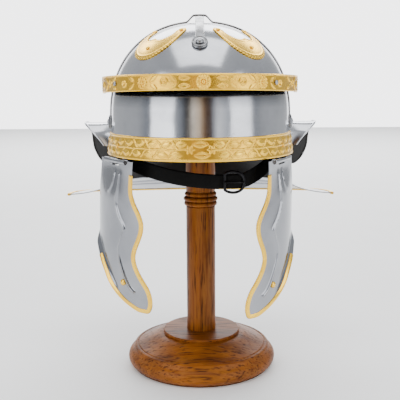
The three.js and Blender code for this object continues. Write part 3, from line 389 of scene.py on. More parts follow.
def shell(name, outer, inner, material, wrap=False, carried=None, sharp=38):
    """Closed sheet from its two faces, given as grids of the same size that may close round an axis."""
    rows, columns = outer.shape[:2]
    count = rows * columns
    face = quads(rows, columns, wrap_columns=wrap)
    c = np.arange(columns if wrap else columns - 1)
    c2 = (c + 1) % columns
    last = (rows - 1) * columns
    sides = [face, face[:, ::-1] + count,
             np.stack([c2, c, c + count, c2 + count], axis=-1),
             np.stack([last + c, last + c2, last + c2 + count, last + c + count], axis=-1)]
    if not wrap:
        r = np.arange(rows - 1) * columns
        end = columns - 1
        sides += [np.stack([r, r + columns, r + columns + count, r + count], axis=-1),
                  np.stack([r + end + columns, r + end, r + end + count, r + end + columns + count], axis=-1)]
    points = np.concatenate([outer.reshape(-1, 3), inner.reshape(-1, 3)])
    inside = np.repeat([0.0, 1.0], count)
    return piece(name, points, np.concatenate(sides), material, {"inside": inside, **(carried or {})}, sharp)


def polished_steel(name, lined, bright, dull):
    def paint(shade):
        brushed = shade.noise(900.0, 3.0, 0.6, (1, 1, 0.04))
        cloud = shade.noise(17.0, 5.0, 0.6)
        haze = cloud.held(0.42, 0.75)
        spot = shade.noise(120.0, 4.0, 0.6).held(0.66, 0.78)
        colour = (haze * 0.6).mix(tone(bright), tone(dull))
        colour = (spot * 0.35).mix(colour, tone("85807a"))
        rough = brushed * 0.06 + haze * 0.07 + spot * 0.12 + 0.11
        normal = bump(shade, brushed * 0.5 + cloud * 2.2, 0.00011, 0.35)
        if not lined:
            return {"Base Color": colour, "Roughness": rough, "Normal": normal, "Metallic": 1.0}
        height = shade.node("ShaderNodeSeparateXYZ", {}, {0: shade.node("ShaderNodeTexCoord", output=3)}, 2)
        # A darker band round the bowl from about 294 to 326 mm up, just under the brow guard: painted shade and dark
        # reflection of the guard.
        brow_shade_band = height.held(0.294, 0.309) * (1.0 - height.held(0.318, 0.326))
        colour = (brow_shade_band * 0.85).mix(colour, tone("3d4046"))
        lining = shade.carried("inside").held(0.35, 0.65)
        paint_grain = shade.noise(520.0, 3.0)
        return {"Base Color": lining.mix(colour, tone("030303")), "Metallic": 1.0 - lining,
                "Roughness": rough * (1.0 - lining) + lining * (paint_grain * 0.2 + 0.38), "Normal": normal}

    return finish(name, paint)


lined_steel = polished_steel("polished_steel_lined", True, "c0c2c7", "94969c")

ear_y, ear_z = ear_edge(np.linspace(0, 180, 61))
ear_turn = turn_at(ear_y, ear_z)
front_turn = np.linspace(0, ear_turn[0], 72)[:-1]
rear_turn = np.linspace(ear_turn[-1], np.pi, 56)[1:]
right_edge = np.concatenate([front_turn * 0 + RIM_Z, ear_z, rear_turn * 0 + NAPE_Z])
bowl_edge = np.concatenate([right_edge, right_edge[1:-1][::-1]])


def around(turn):
    """The turns of the right half carried on round the left half."""
    return np.concatenate([turn, -turn[..., 1:-1][..., ::-1]], axis=-1)


def bowl_face(depth):
    """One face of the sheet. Columns at the ear arches keep their y, so that the arches stay plumb."""
    rise = np.radians(np.concatenate([[89.95, 88, 86], np.linspace(83, 0.3, 40)]))[:, None]
    share = np.linspace(0, 1, 27)[1:, None]
    straight = around(np.concatenate([front_turn, turn_at(ear_y, SHOULDER_Z), rear_turn]))[None, :]
    top = off(dome, straight + 0 * rise, rise + 0 * straight, -depth)
    z = SHOULDER_Z + (bowl_edge[None, :] - SHOULDER_Z) * share
    ear = turn_at(ear_y[None, :], z[:, len(front_turn):len(front_turn) + len(ear_y)])
    turn = around(np.concatenate([front_turn + 0 * share, ear, rear_turn + 0 * share], axis=1))
    side = off(wall, turn, z, -depth)
    return np.concatenate([top, side])


bowl_outer, bowl_inner = bowl_face(0.0), bowl_face(SHEET)
pole = np.array([[[0, 0, CROWN_Z]]]) + np.zeros((1, len(bowl_edge), 1))
bowl = shell("bowl_sheet", np.concatenate([pole, bowl_outer]),
             np.concatenate([pole - [0, 0, SHEET], bowl_inner]), lined_steel, wrap=True)
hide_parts("bowl")
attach(bowl, "helmet")

# The neck guard. The same sheet turned out level at the nape and spread like a fan, with two raised
# ribs round the neck. It is dished, and its corners come forward under the ears.
NECK_HALF, NECK_REACH, NECK_Y, NECK_Z = 162.0, 95.0, 68.0, 179.0


def neck(share, sweep):
    """Point of the neck guard's top: from the foot of the nape to the outer edge along straight lines."""
    angle = np.radians(sweep)
    corner = turn_at(np.array(51.0), np.array(NAPE_Z))
    turn = (np.pi + (corner - np.pi) * np.abs(sweep) / 90) * np.where(sweep < 0, -1, 1)
    nape = wall(turn, NAPE_Z + 0 * turn)
    rim_x = NECK_HALF * np.sin(angle)
    rim = np.stack([rim_x, NECK_Y + NECK_REACH * np.cos(angle),
                    NECK_Z + 7 * np.abs(rim_x / NECK_HALF) ** 3], axis=-1)
    point = nape + (rim - nape) * share[..., None]
    fade = 1 - smooth(62, 80, np.abs(sweep))
    rib = sum(np.clip(1 - (np.abs(share - at) / 0.06) ** 2, 0, 1) ** 1.5 for at in (0.24, 0.46))
    dish = np.sin(np.pi * np.clip(share, 0, 1))
    point[..., 2] += 1.8 * rib * fade - 4 * dish * (sweep / 90) ** 2
    point[..., 1] += 5 * dish * (np.abs(sweep) / 90) ** 8
    return point


# A darker copy of the bowl's polished steel, for the neck guard, brow guard, cheek guards and hinge leaves: painted
# shade.
shaded_sheet_steel = polished_steel("polished_steel", False, "989a9f", "74767c")
neck_sweep, neck_share = np.meshgrid(np.linspace(-90, 90, 181), np.linspace(-0.012, 1, 72))
neck_top = neck(neck_share, neck_sweep)
neck_plate = shell("neck_guard_sheet", neck_top, neck_top - [0, 0, SHEET], shaded_sheet_steel)
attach(neck_plate, "helmet")

# The binding of the neck guard. A strip of brass folded over the outer edge and hammered down.
BINDING_WALL, BINDING_DEPTH = 0.9, 3.2


def brass(name, embossed):
    def paint(shade):
        cloud = shade.noise(34.0, 4.0, 0.6)
        fine = shade.noise(420.0, 4.0, 0.6)
        stain = cloud.held(0.46, 0.72)
        colour = (stain * 0.5).mix(tone("ffcd46"), tone("e9b233"))
        if embossed:
            # The low places of the pressed pattern are darkened, more deeply in patches: painted shade in its
            # hollows.
            hollow_shade = 1.0 - shade.carried("relief").held(0.02, 0.42)
            hollow_shade = hollow_shade * (fine * 0.5 + 0.65)
            colour = (hollow_shade * 0.3).mix(colour, tone("cc9424"))
            colour = ((hollow_shade * cloud).held(0.34, 0.7) * 0.35).mix(colour, tone("7c4a0a"))
        return {"Base Color": colour, "Roughness": fine * 0.1 + stain * 0.1 + 0.2, "Metallic": 1.0,
                "Normal": bump(shade, fine + cloud * 2.0, 0.00009, 0.5)}

    return finish(name, paint)


bright_brass = brass("bright_brass", False)


def lofted(name, rings, material, carried=None, sharp=38):
    """Closed skin over a row of rings, with a flat cap at each end."""
    low, high = (end.mean(1, keepdims=True) + 0 * end for end in (rings[:1], rings[-1:]))
    points = np.concatenate([low, rings, high])
    faces = quads(*points.shape[:2], wrap_columns=True)
    return piece(name, points.reshape(-1, 3), faces, material, carried, sharp)


def bound(name, edge, out, up, half, thickness, depth, material):
    """Folded strip along an edge: a rounded hook carried along the points, out and up of a sheet's edge."""
    lip = np.radians(np.linspace(-90, 90, 9))
    inside, thick = half + 0.1, half + 0.1 + thickness
    x = np.array([-depth, -depth * 0.5, 0.15, 0.15, -depth * 0.5, -depth, -depth - 0.1, -depth * 0.6,
                  *(thick * 0.75 * np.cos(lip) + 0.1), -depth * 0.6, -depth - 0.1])
    y = np.array([inside, inside, inside, -inside, -inside, -inside, -inside - 0.35, -thick,
                  *(thick * np.sin(lip)), thick, inside + 0.35])
    rings = edge[:, None] + x[:, None] * out[:, None] + y[:, None] * up[:, None]
    return lofted(name, rings, material, sharp=50)


rim_sweep = np.linspace(-90, 90, 241)
rim_edge = neck(1 + 0 * rim_sweep, rim_sweep)
rim_out = unit(rim_edge - neck(0.9 + 0 * rim_sweep, rim_sweep))
rim_up = unit(np.cross(np.gradient(rim_edge, axis=0), rim_out))
rim_up *= np.sign(rim_up[:, 2:])
neck_binding = bound("neck_guard_fold", rim_edge - [0, 0, SHEET / 2], rim_out, rim_up, SHEET / 2, BINDING_WALL,
                     BINDING_DEPTH, bright_brass)
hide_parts("neck_guard_binding")
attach(neck_binding, "helmet")

# The embossed band round the front of the rim. Thin brass pressed over a die and nailed to the bowl:
# a raised border at each edge, and a stem between them with pairs of leaves above and below it.
BAND_HEIGHT, BAND_SHEET, BAND_RADIUS = 23.0, 0.7, 114.0


def almond(s, v, at, up, tilt, length, width):
    """Pointed leaf: a domed almond with a fine groove along its middle, from 0 at its edge to 1."""
    c, d = np.cos(np.radians(tilt)), np.sin(np.radians(tilt))
    x, y = (s - at) * c + (v - up) * d, (v - up) * c - (s - at) * d
    half = np.maximum(width / 2 * (1 - np.clip(np.abs(2 * x / length), 0, 1) ** 1.8), 1e-3)
    across = np.clip(np.abs(y) / half, 0, 1)
    return np.sqrt(1 - across ** 2) * (0.78 + 0.22 * smooth(0.0, 0.35, across)) * (np.abs(2 * x / length) < 1)


def ridge(s, v, path, width):
    """Raised line along straight runs, as the fall-off of the distance from them."""
    nearest = np.full(np.shape(s + v), 1e9)
    for (x0, y0), (x1, y1) in zip(path[:-1], path[1:]):
        dx, dy = x1 - x0, y1 - y0
        t = np.clip(((s - x0) * dx + (v - y0) * dy) / (dx * dx + dy * dy), 0, 1)
        nearest = np.minimum(nearest, np.hypot(s - x0 - t * dx, v - y0 - t * dy))
    return np.exp(-(nearest / width) ** 2)


def rim_relief(s, v):
    """The raised lines and leaves of the rim band's pattern, one at a time, each up to about 1 high."""
    deg = np.pi / 180 * BAND_RADIUS
    mid = BAND_HEIGHT / 2
    yield 0.62 * np.maximum(np.exp(-((v - 1.0) / 0.75) ** 2), np.exp(-((v - BAND_HEIGHT + 1.0) / 0.75) ** 2))
    wave = mid + 0.35 * np.sin(s / 4.1)
    yield 0.62 * np.exp(-((v - wave) / 0.62) ** 2) * (np.abs(s) > 13)
    for side, at, up in ((side, at, up) for side in (-1, 1) for at in range(9) for up in (-1, 1)):
        place = side * (10.6 + 8.7 * at + (2.4 if up < 0 else 0)) * deg
        leaf = almond(s, v, place, mid + up * 5.0, up * side * -7, 13.2, 6.6)
        inner = almond(s, v, place, mid + up * 5.0, up * side * -7, 9.4, 4.0)
        yield 0.5 * np.clip(leaf * 2.2, 0, 1) - 0.12 * np.clip(leaf * 4, 0, 1) + 0.55 * inner
        root = side * (14.0 + 8.7 * at + (2.4 if up < 0 else 0)) * deg
        stem = [(root - side * 3.4, mid + up * 0.4), (root - side * 1.0, mid + up * 2.4),
                (root + side * 0.8, mid + up * 5.4), (root + side * 3.6, mid + up * 7.8)]
        yield 0.55 * ridge(s, v, stem, 0.62)
    for up, shift in ((-1, 1.8), (1, 0)):
        yield (0.95 * almond(s, v, shift, mid + up * 5.3, 0, 19, 7.0)
               - 0.75 * almond(s, v, shift, mid + up * 5.3, 0, 12.5, 4.0))
    for angle in range(0, 360, 60):
        x, y = 3.0 * np.cos(np.radians(angle)), 2.4 * np.sin(np.radians(angle))
        for middle in (-11.5, 12.6):
            yield 0.6 * almond(s, v, middle + x, mid + y, angle, 5.2, 2.4)


def pressed(name, place, relief, s, v, height, sheet, node):
    """Thin sheet with a raised pattern: its face follows the highest of its lines, and its back is plain."""
    print_height = np.max(list(relief(s, v)), axis=0)
    weight = height * print_height * smooth(0, 1.2, v) ** 0.5
    grain = 0.05 * np.sin(s * 2.9 + 1.7 * np.sin(v * 2.1)) * np.sin(v * 3.7 + 1.3 * np.sin(s * 1.9))
    outer = place(s, v, sheet + weight + grain * (1 - np.clip(print_height * 2, 0, 1)))
    inner = place(s, v, 0 * s)
    # The relief it carries darkens the low places of the pattern in the brass: painted shade.
    relief_value = np.concatenate([print_height.ravel(), 0.5 + 0 * print_height.ravel()])
    made = shell(name, outer, inner, embossed_brass, carried={"relief": relief_value}, sharp=60)
    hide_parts(node)
    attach(made, "helmet")


embossed_brass = brass("embossed_brass", True)


def rim_place(s, v, out):
    return off(wall, s / BAND_RADIUS, RIM_Z + v, 0.3 + out)


rim_end = np.radians(88) * BAND_RADIUS
rim_s, rim_v = np.meshgrid(np.linspace(-rim_end, rim_end, 781), np.linspace(0, BAND_HEIGHT, 56))
pressed("rim_band_sheet", rim_place, rim_relief, rim_s, rim_v, 1.25, BAND_SHEET, "rim_band")

# Nails and rivets. Small domed heads hammered over, brass in the rim band, the crescents and the cheek
# guards, steel in the brow band and the straps.
def dome_head(name, seat, normal, radius, height, material, body, sides=24):
    """Flat-bottomed cap: a rim, a rounded shoulder and a low dome."""
    angle = np.radians(np.linspace(8, 90, 9))
    rows = [(0, 0), (radius * 0.94, 0), (radius, height * 0.12)]
    rows += [(radius * np.cos(a), height * (0.12 + 0.88 * np.sin(a))) for a in angle]
    made = revolved(name, rows, seat, normal, sides, material, sharp=45)
    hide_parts(name.replace("_head", ""))
    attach(made, body)


def seat_on(place, s, v, out):
    """Place and normal of a spot on a band, as plain triples."""
    s, v = np.array(s, dtype=float), np.array(v, dtype=float)
    low, high = place(s, v, np.array(out)), place(s, v, np.array(out + 5.0))
    return low, high - low


for side, name in ((-1, "left"), (1, "right")):
    seat, normal = seat_on(rim_place, side * np.radians(58.5) * BAND_RADIUS, BAND_HEIGHT / 2, BAND_SHEET + 0.25)
    dome_head(f"rim_nail_{name}_head", seat, normal, 2.1, 1.3, bright_brass, "helmet")

# The brow guard. A strip of steel bent to an angle: a fascia that stands proud of the bowl all round
# the brow, and a flat shelf behind it whose turned-down edge is brazed to the bowl.
BROW_HALF, BROW_REACH, BROW_Y, BROW_SIDE_Z, BROW_TILT = 103.2, 115.0, -10.0, 308.3, 3.7


def brow_height(turn):
    return 17.4 + (15.6 - 17.4) * np.cos(turn)


def brow_place(s, up, out):
    """Point of the brow's fascia: s round a shallow ellipse, up its height and out from its face."""
    turn = s / BROW_REACH
    ahead = unit(np.stack([np.sin(turn) / BROW_HALF, -np.cos(turn) / BROW_REACH, 0 * turn], axis=-1))
    foot = np.stack([BROW_HALF * np.sin(turn), BROW_Y - BROW_REACH * np.cos(turn),
                     BROW_SIDE_Z + BROW_TILT * np.cos(turn) + up], axis=-1)
    return foot + np.asarray(out)[..., None] * ahead


def dome_under(point, z):
    """Point of the dome's outside on the same bearing as a given point, at another height."""
    spread = (1 - ((z - SHOULDER_Z) / (CROWN_Z - SHOULDER_Z)) ** DOME_POWER) ** (1 / DOME_POWER)
    reach = np.hypot(point[..., 0] / DOME_X, point[..., 1] / DOME_Y)
    return np.stack([point[..., 0] * spread / reach, point[..., 1] * spread / reach, z], axis=-1)


brow_turn = np.radians(np.linspace(-89, 89, 241))
brow_s = brow_turn * BROW_REACH
tall = brow_height(brow_turn)
brow_top = brow_place(brow_s, tall, 0)


def brow_inward(drop, size):
    seat = dome_under(brow_top, brow_top[:, 2] - drop)
    return seat + (0.35 + size) * unit(seat * [1, 1, 0])


brow_section = np.stack([
    brow_place(brow_s, 0, 0), brow_place(brow_s, tall * 0.5, 0), brow_place(brow_s, tall - 0.5, 0),
    brow_place(brow_s, tall - 0.1, -0.15), brow_place(brow_s, tall, -0.6),
    brow_inward(0, 1.0), brow_inward(0.3, 0.3), brow_inward(1.0, 0), brow_inward(6, 0), brow_inward(6, SHEET),
    brow_inward(SHEET + 0.4, SHEET), brow_place(brow_s, tall - SHEET, -SHEET), brow_place(brow_s, 0, -SHEET)], axis=1)
brow_guard = lofted("brow_guard_sheet", brow_section, shaded_sheet_steel, sharp=35)
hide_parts("brow_guard")
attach(brow_guard, "helmet")

# The embossed facing of the brow guard. Brass pressed with a flower in the middle, a smaller one at
# each side, pointed leaves and curled tendrils between them, and a column of beads at each end.
def rosette(s, v, at, up, radius, petals):
    """Flower: a ring of rounded petals round a sunk ring and a ball."""
    r, angle = np.hypot(s - at, v - up) / radius, np.arctan2(v - up, s - at)
    leaf = np.abs(np.cos(petals * angle / 2)) ** 0.7
    ring = np.sqrt(np.clip(1 - ((r - 0.66) / 0.33) ** 2, 0, 1)) * (0.25 + 0.75 * leaf) * (r < 0.9 + 0.1 * leaf)
    return np.maximum(ring * 0.85, 1.15 * np.sqrt(np.clip(1 - (r / 0.3) ** 2, 0, 1)))


def beads(s, v, at, spacing, height, size):
    """Column of small balls up a band at one place along it."""
    y = (v - height / 2 + spacing / 2) % spacing - spacing / 2
    return np.sqrt(np.clip(1 - ((s - at) ** 2 + y ** 2) / size ** 2, 0, 1)) * (np.abs(v - height / 2) < height * 0.38)


def brow_relief(s, v):
    """The flowers, leaves and lines of the brow band's pattern, one at a time, each up to about 1 high."""
    deg = np.pi / 180 * BROW_REACH
    tall = brow_height(s / BROW_REACH)
    mid = tall / 2
    s = s - 1.8 * deg
    yield 0.55 * np.maximum(np.exp(-((v - 0.8) / 0.55) ** 2), np.exp(-((v - tall + 0.8) / 0.55) ** 2))
    yield 1.1 * rosette(s, v, 0, mid, 7.4, 12)
    for side in (-1, 1):
        yield 0.95 * rosette(s, v, side * 33.6 * deg, mid, 6.3, 10)
        for up in (-1, 1):
            eye = almond(s, v, side * 9.8 * deg, mid + up * 3.7, 0, 12.5, 5.2)
            pupil = almond(s, v, side * 9.8 * deg, mid + up * 3.7, 0, 8.0, 3.0)
            yield 0.85 * eye - 0.62 * pupil
            for at, reach, lean in ((15.6, 5.6, 40), (26.5, 6.2, -35), (41.0, 6.0, 35), (56.5, 6.0, -30),
                                    (66.0, 6.0, 35)):
                yield 0.78 * almond(s, v, side * at * deg, mid + up * 3.6, side * up * lean,
                                    reach * 1.7, reach * 0.62)
        for at, size, start in ((20.8, 3.9, 1), (46.8, 3.6, -1), (61.5, 3.6, 1), (72.5, 3.6, -1)):
            x, y = s - side * at * deg, v - mid
            r, angle = np.hypot(x, y), np.arctan2(y * start, x * side)
            curl = size * (0.52 + 0.48 * (angle + np.pi) / (2 * np.pi))
            yield 0.7 * np.exp(-((r - curl) / 0.7) ** 2)
            yield 0.8 * np.sqrt(np.clip(1 - (r / (0.3 * size)) ** 2, 0, 1))
        for at in (79.5, 82.0, 86.5):
            yield 0.6 * beads(s, v, side * at * deg - 1.8 * deg, 2.6, 16.0, 1.1)
        for at in (77.8, 84.2):
            yield 0.5 * np.exp(-((s - side * at * deg + 1.8 * deg) / 0.55) ** 2)


def worn_steel(name, bright, dull):
    def paint(shade):
        cloud = shade.noise(60.0, 5.0, 0.65)
        fine = shade.noise(620.0, 3.0)
        colour = cloud.held(0.4, 0.7).mix(tone(bright), tone(dull))
        return {"Base Color": colour, "Roughness": cloud * 0.14 + fine * 0.08 + 0.2, "Metallic": 1.0,
                "Normal": bump(shade, fine + cloud * 3.0, 0.0001, 0.5)}

    return finish(name, paint)


# Steel of the straps, washers, rivets and pins, darker than the bowl's: painted shade of the straps' dark sides.
shaded_bar_steel = worn_steel("shaded_bar_steel", "a9abaf", "6a6967")
face_s, face_share = np.meshgrid(np.linspace(brow_s[0], brow_s[-1], 841), np.linspace(0, 1, 45))
face_v = face_share * brow_height(face_s / BROW_REACH)


def brow_face(s, v, out):
    return brow_place(s, v, 0.3 + out)


pressed("brow_band_sheet", brow_face, brow_relief, face_s, face_v, 1.3, BAND_SHEET, "brow_band")
for side, name, at in ((-1, "left", 53.6), (1, "right", 45.0)):
    spot = side * np.radians(at) * BROW_REACH
    seat, normal = seat_on(brow_face, spot, brow_height(spot / BROW_REACH) / 2, BAND_SHEET + 0.2)
    dome_head(f"brow_rivet_{name}_head", seat, normal, 2.4, 1.8, shaded_bar_steel, "helmet")

# The ear guards. A strip of steel flared out over each ear arch, broad at its tip and dying away
# behind the ear, with its outer edge turned into a bead. The underside is blackened.
EAR_TIP, EAR_TIP_SWEEP, EAR_FADE, EAR_FOOT, EAR_LIP = 134.4, 92.0, 80.0, 5.0, 1.35


def ear_guard(side, name):
    sweep = np.linspace(6, 168, 91)
    y, z = ear_edge(sweep)
    foot = off(wall, turn_at(y, z), z, 0.45)
    past = np.clip(sweep - EAR_TIP_SWEEP, 0, EAR_FADE) / EAR_FADE
    flare = np.where(past > 0, 1 - past ** 8, np.sin(np.radians(sweep / EAR_TIP_SWEEP * 90)))
    reach = EAR_FOOT + (EAR_TIP - DOME_X - 0.3 - EAR_FOOT) * flare
    rim = foot + np.stack([reach, 4 * flare, 1 - 2.5 * flare], axis=-1)
    out = unit(rim - foot)
    next_y, next_z = ear_edge(sweep + 4)
    up = unit(np.cross(out, unit(np.stack([0 * y, next_y - y, next_z - z], axis=-1))))
    up *= np.sign(up[:, 2] + up[:, 1] * np.where(sweep < 90, -1, 1))[:, None]
    span = np.linalg.norm(rim - foot, axis=-1)[:, None]
    roll = np.radians(np.linspace(205, -160, 15))[None, :]
    flat = np.linspace(0, 1, 12)[None, :] * (span - 2.6)
    sag = -0.9 * np.sin(np.pi * np.linspace(0, 1, 12))[None, :] * flare[:, None]
    x = np.concatenate([flat, span - EAR_LIP + EAR_LIP * np.cos(roll), flat[:, ::-1]], axis=1)
    lift = np.concatenate([0.6 + sag, 0 * span + 0.1 + EAR_LIP * np.sin(roll), -0.6 + sag[:, ::-1]], axis=1)
    rings = foot[:, None] + x[..., None] * out[:, None] + lift[..., None] * up[:, None]
    rings[..., 0] *= side
    under = np.tile(np.repeat([0.0, 1.0], [21, 18]), len(rings) + 2)
    made = lofted(f"ear_guard_{name}_sheet", rings, lined_steel, {"inside": under}, sharp=50)
    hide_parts(f"ear_guard_{name}")
    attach(made, "helmet")


ear_guard(1, "right")
ear_guard(-1, "left")

# The cross straps. Two narrow steel bars follow the dome, each with a round end riveted to the bowl.
# The one from front to back lies lower, and the one from side to side bridges over it.
STRAP_HALF, STRAP_WALL, DISC_RADIUS, STRAP_GAP, MERIDIAN_STEP = 4.5, 2.4, 8.2, 4.3, 1.66


def meridian(turn, climb, out):
    """Point over the bowl in one plane: the climb goes from the shoulder at 0 over the crown to 180."""
    rise = np.where(climb > 90, 180 - climb, climb)
    side = turn + np.where(climb > 90, np.pi, 0)
    high = off(dome, side, np.radians(np.clip(rise, 0.2, 89.9)), out)
    low = off(wall, side, SHOULDER_Z + np.minimum(rise, 0) * MERIDIAN_STEP, out)
    return np.where(rise[:, None] < 0.2, low, high)


def strap(name, turn, end, lift, node):
    first = end - DISC_RADIUS / MERIDIAN_STEP - 0.2
    climb = np.linspace(first, 180 - first, 1601)
    base = meridian(turn, climb, 0.3)
    normal = unit(meridian(turn, climb, 5.3) - base)
    base[:, 2] += lift(np.hypot(base[:, 0], base[:, 1]))
    length = np.concatenate([[0], np.cumsum(np.linalg.norm(np.diff(base, axis=0), axis=-1))])
    centre = np.interp(end, climb, length)
    disc_end = centre - DISC_RADIUS
    total = length[-1]
    even = np.concatenate([np.linspace(disc_end, disc_end + 20, 46)[:-1],
                           np.linspace(disc_end + 20, total - disc_end - 20, 170),
                           np.linspace(total - disc_end - 20, total - disc_end, 46)[1:]])
    base = np.stack([np.interp(even, length, base[:, k]) for k in range(3)], axis=-1)
    normal = np.stack([np.interp(even, length, normal[:, k]) for k in range(3)], axis=-1)
    from_end = np.minimum(even, total - even) - centre
    disc = np.sqrt(np.clip(DISC_RADIUS ** 2 - from_end ** 2, 0, None))
    half = np.where(from_end < 0, disc, np.maximum(disc, STRAP_HALF))
    neck_in = np.where(from_end > 6.6, 1.2 * np.exp(-(from_end - 6.6) / 1.6), half - STRAP_HALF)
    half = np.where((from_end > 0) & (half < 6.0), STRAP_HALF + neck_in, half)
    across = np.array([np.cos(turn), np.sin(turn), 0])
    angle = np.radians(np.linspace(0, 360, 25)[:-1])
    x, y = powered(np.cos(angle), 0.42), 0.5 + 0.5 * powered(np.sin(angle), 0.55)
    crown = y * (1 - 0.18 * (y > 0.5) * x ** 2)
    points = (base[:, None, :] + (half[:, None] * x)[..., None] * across
              + (STRAP_WALL * crown)[None, :, None] * normal[:, None, :])
    made = piece(name, points.reshape(-1, 3), quads(*points.shape[:2], wrap_columns=True), shaded_bar_steel, sharp=48)
    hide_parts(node)
    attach(made, "helmet")


CROWN_END = np.degrees(np.arcsin(((357.0 - SHOULDER_Z) / (CROWN_Z - SHOULDER_Z)) ** (DOME_POWER / 2)))
SIDE_END = (277.0 - SHOULDER_Z) / MERIDIAN_STEP
strap("crown_strap_bar", 0.0, CROWN_END, lambda r: STRAP_GAP * (1 - smooth(9, 30, r)), "crown_strap")
strap("side_strap_bar", np.pi / 2, SIDE_END, lambda r: (STRAP_GAP + STRAP_WALL + 0.3) * (1 - smooth(5.5, 15, r)),
      "side_strap")

washer = [(3.6, 0.0), (7.6, 0.0), (7.9, 0.5), (7.5, 1.1), (6.9, 1.25), (6.3, 0.9), (5.4, 0.35), (3.6, 0.3),
          (3.6, 0.0)]
for name, turn, end in (("right", np.pi / 2, SIDE_END), ("left", -np.pi / 2, SIDE_END), ("front", 0.0, CROWN_END),
                        ("rear", np.pi, CROWN_END)):
    low, high = (meridian(turn, np.array([end]), out)[0] for out in (0.3, 5.3))
    up = unit(high - low)
    ring = revolved(f"strap_washer_{name}", washer, low + up * (STRAP_WALL * 0.93), up, 48, shaded_bar_steel, sharp=40)
    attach(ring, "helmet")
    dome_head(f"strap_rivet_{name}_head", low + up * (STRAP_WALL + 0.2), up, 4.0, 3.0, shaded_bar_steel,
              "helmet", 40)

# The crescents. Four moon-shaped plates of thin brass with finely nicked edges, each held by three
# small rivets, one on each quarter of the dome with their horns towards the crown.
CRESCENT_RADIUS, CRESCENT_SWEEP, CRESCENT_BELLY, CRESCENT_HORN = 22.5, 122.0, 29.0, 9.5


def crescent(turn, sweep, share, out):
    """Point of a crescent: an arc about a spot on the dome, wide at the belly and narrow at its horns."""
    far = np.abs(sweep) / CRESCENT_SWEEP
    wide = CRESCENT_BELLY + (CRESCENT_HORN - CRESCENT_BELLY) * smooth(0, 0.85, far)
    tip = np.sqrt(np.clip(1 - (np.clip(far - 0.9, 0, None) / 0.1) ** 2, 0, 1))
    radius = CRESCENT_RADIUS * (0.91 + 0.18 * far) + share * wide * tip / 2
    side, up = radius * np.sin(np.radians(sweep)), -radius * np.cos(np.radians(sweep))
    rise = np.radians(55 + up / MERIDIAN_STEP)
    level = (DOME_X + DOME_Y) / 2 * np.cos(rise) ** (2 / DOME_POWER)
    return off(dome, turn + side / level, rise, out)


moon_sweep, moon_share = np.meshgrid(np.linspace(-CRESCENT_SWEEP, CRESCENT_SWEEP, 361), np.linspace(-1, 1, 41))
nick = 0.5 + 0.5 * np.cos(np.radians(moon_sweep) * CRESCENT_RADIUS * 2 * np.pi / 2.35)
near_edge = smooth(0.72, 1.0, np.abs(moon_share))
moon_rise = 0.5 * near_edge * nick - 0.25 * near_edge + 0.25 * np.exp(-((np.abs(moon_share) - 0.7) / 0.05) ** 2)
# The value carried as relief darkens the brass between the nicks of the edge: painted shade in the nicks.
nick_shade = np.concatenate([(0.6 - 0.55 * near_edge * (1 - nick)).ravel(), 0.5 + 0 * nick.ravel()])
for name, degree in (("front_right", 45), ("front_left", -45), ("rear_right", 135), ("rear_left", -135)):
    turn = np.radians(degree)
    outer = crescent(turn, moon_sweep, moon_share * (1 - 0.03 * near_edge * (1 - nick)), 1.0 + moon_rise)
    inner = crescent(turn, moon_sweep, moon_share, 0.3)
    plate = shell(f"crescent_{name}_plate", outer, inner, embossed_brass, carried={"relief": nick_shade}, sharp=50)
    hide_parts(f"crescent_{name}")
    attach(plate, "helmet")
    for count, share in enumerate((-0.92, 0.0, 0.92), start=1):
        at = np.array(share * CRESCENT_SWEEP)
        seat, over = (crescent(turn, at, 0 * at, out) for out in (1.15, 6.0))
        dome_head(f"crescent_rivet_{name}_{count}_head", seat, over - seat, 2.2, 1.4, bright_brass, "helmet")

# The cheek guards. Two plates of sheet steel bent round the face, with a wavy front edge, two ribs
# raised from inside, and knuckles rolled at the top for the hinge. They hang a little askew.
HINGE_Y, HINGE_Z, CHEEK_LENGTH, CHEEK_FRONT, CHEEK_REAR, CHEEK_LEAN = -56.5, 240.0, 156.0, 55.4, 43.5, 0.05
CHEEK_CURVE, CHEEK_BACK, CHEEK_HANG, CHEEK_FLARE, FLARE_WIDTH = 95.0, 9.0, 4.9, 4.0, 9.0
BEND_TOP, BEND_END, RIVET_ALONG, RIVET_DROP = 4.0, 41.0, 20.1, 127.0
KNUCKLE_HALF, LEAF_HALF, KNUCKLE_RADIUS = 24.0, 9.7, 3.0
FRONT_ROWS = [(-0.02, 0.691), (0.05, 0.657), (0.13, 0.592), (0.205, 0.565), (0.27, 0.628), (0.333, 0.731),
              (0.397, 0.798), (0.45, 0.794), (0.51, 0.74), (0.577, 0.657), (0.64, 0.625), (0.705, 0.682),
              (0.77, 0.794), (0.833, 0.921), (0.9, 0.991), (0.95, 1), (1, 0.957)]
REAR_ROWS = [(-0.02, -0.747), (0.2, -0.851), (0.4, -0.989), (0.5, -1), (0.577, -0.862), (0.64, -0.632),
             (0.705, -0.391), (0.77, -0.149), (0.833, 0.046), (0.9, 0.276), (0.95, 0.552), (1, 0.966)]
LONG_RIB = [(0.085, 0.21), (0.18, 0.19), (0.29, 0.17), (0.38, 0.28), (0.45, 0.40), (0.51, 0.33), (0.58, 0.26),
            (0.66, 0.28), (0.73, 0.36), (0.80, 0.46), (0.84, 0.54), (0.87, 0.64)]
SHORT_RIB = [(0.075, 0.02), (0.12, 0.01), (0.16, -0.03), (0.20, -0.11)]


def cheek_frame(side, toe, hinge_x):
    """Hinge middle, and the directions along the hinge towards the face and out from it."""
    c, d = np.cos(np.radians(toe)), np.sin(np.radians(toe))
    return np.array([side * hinge_x, HINGE_Y, HINGE_Z]), np.array([-side * d, -c, 0]), np.array([side * c, -d, 0])


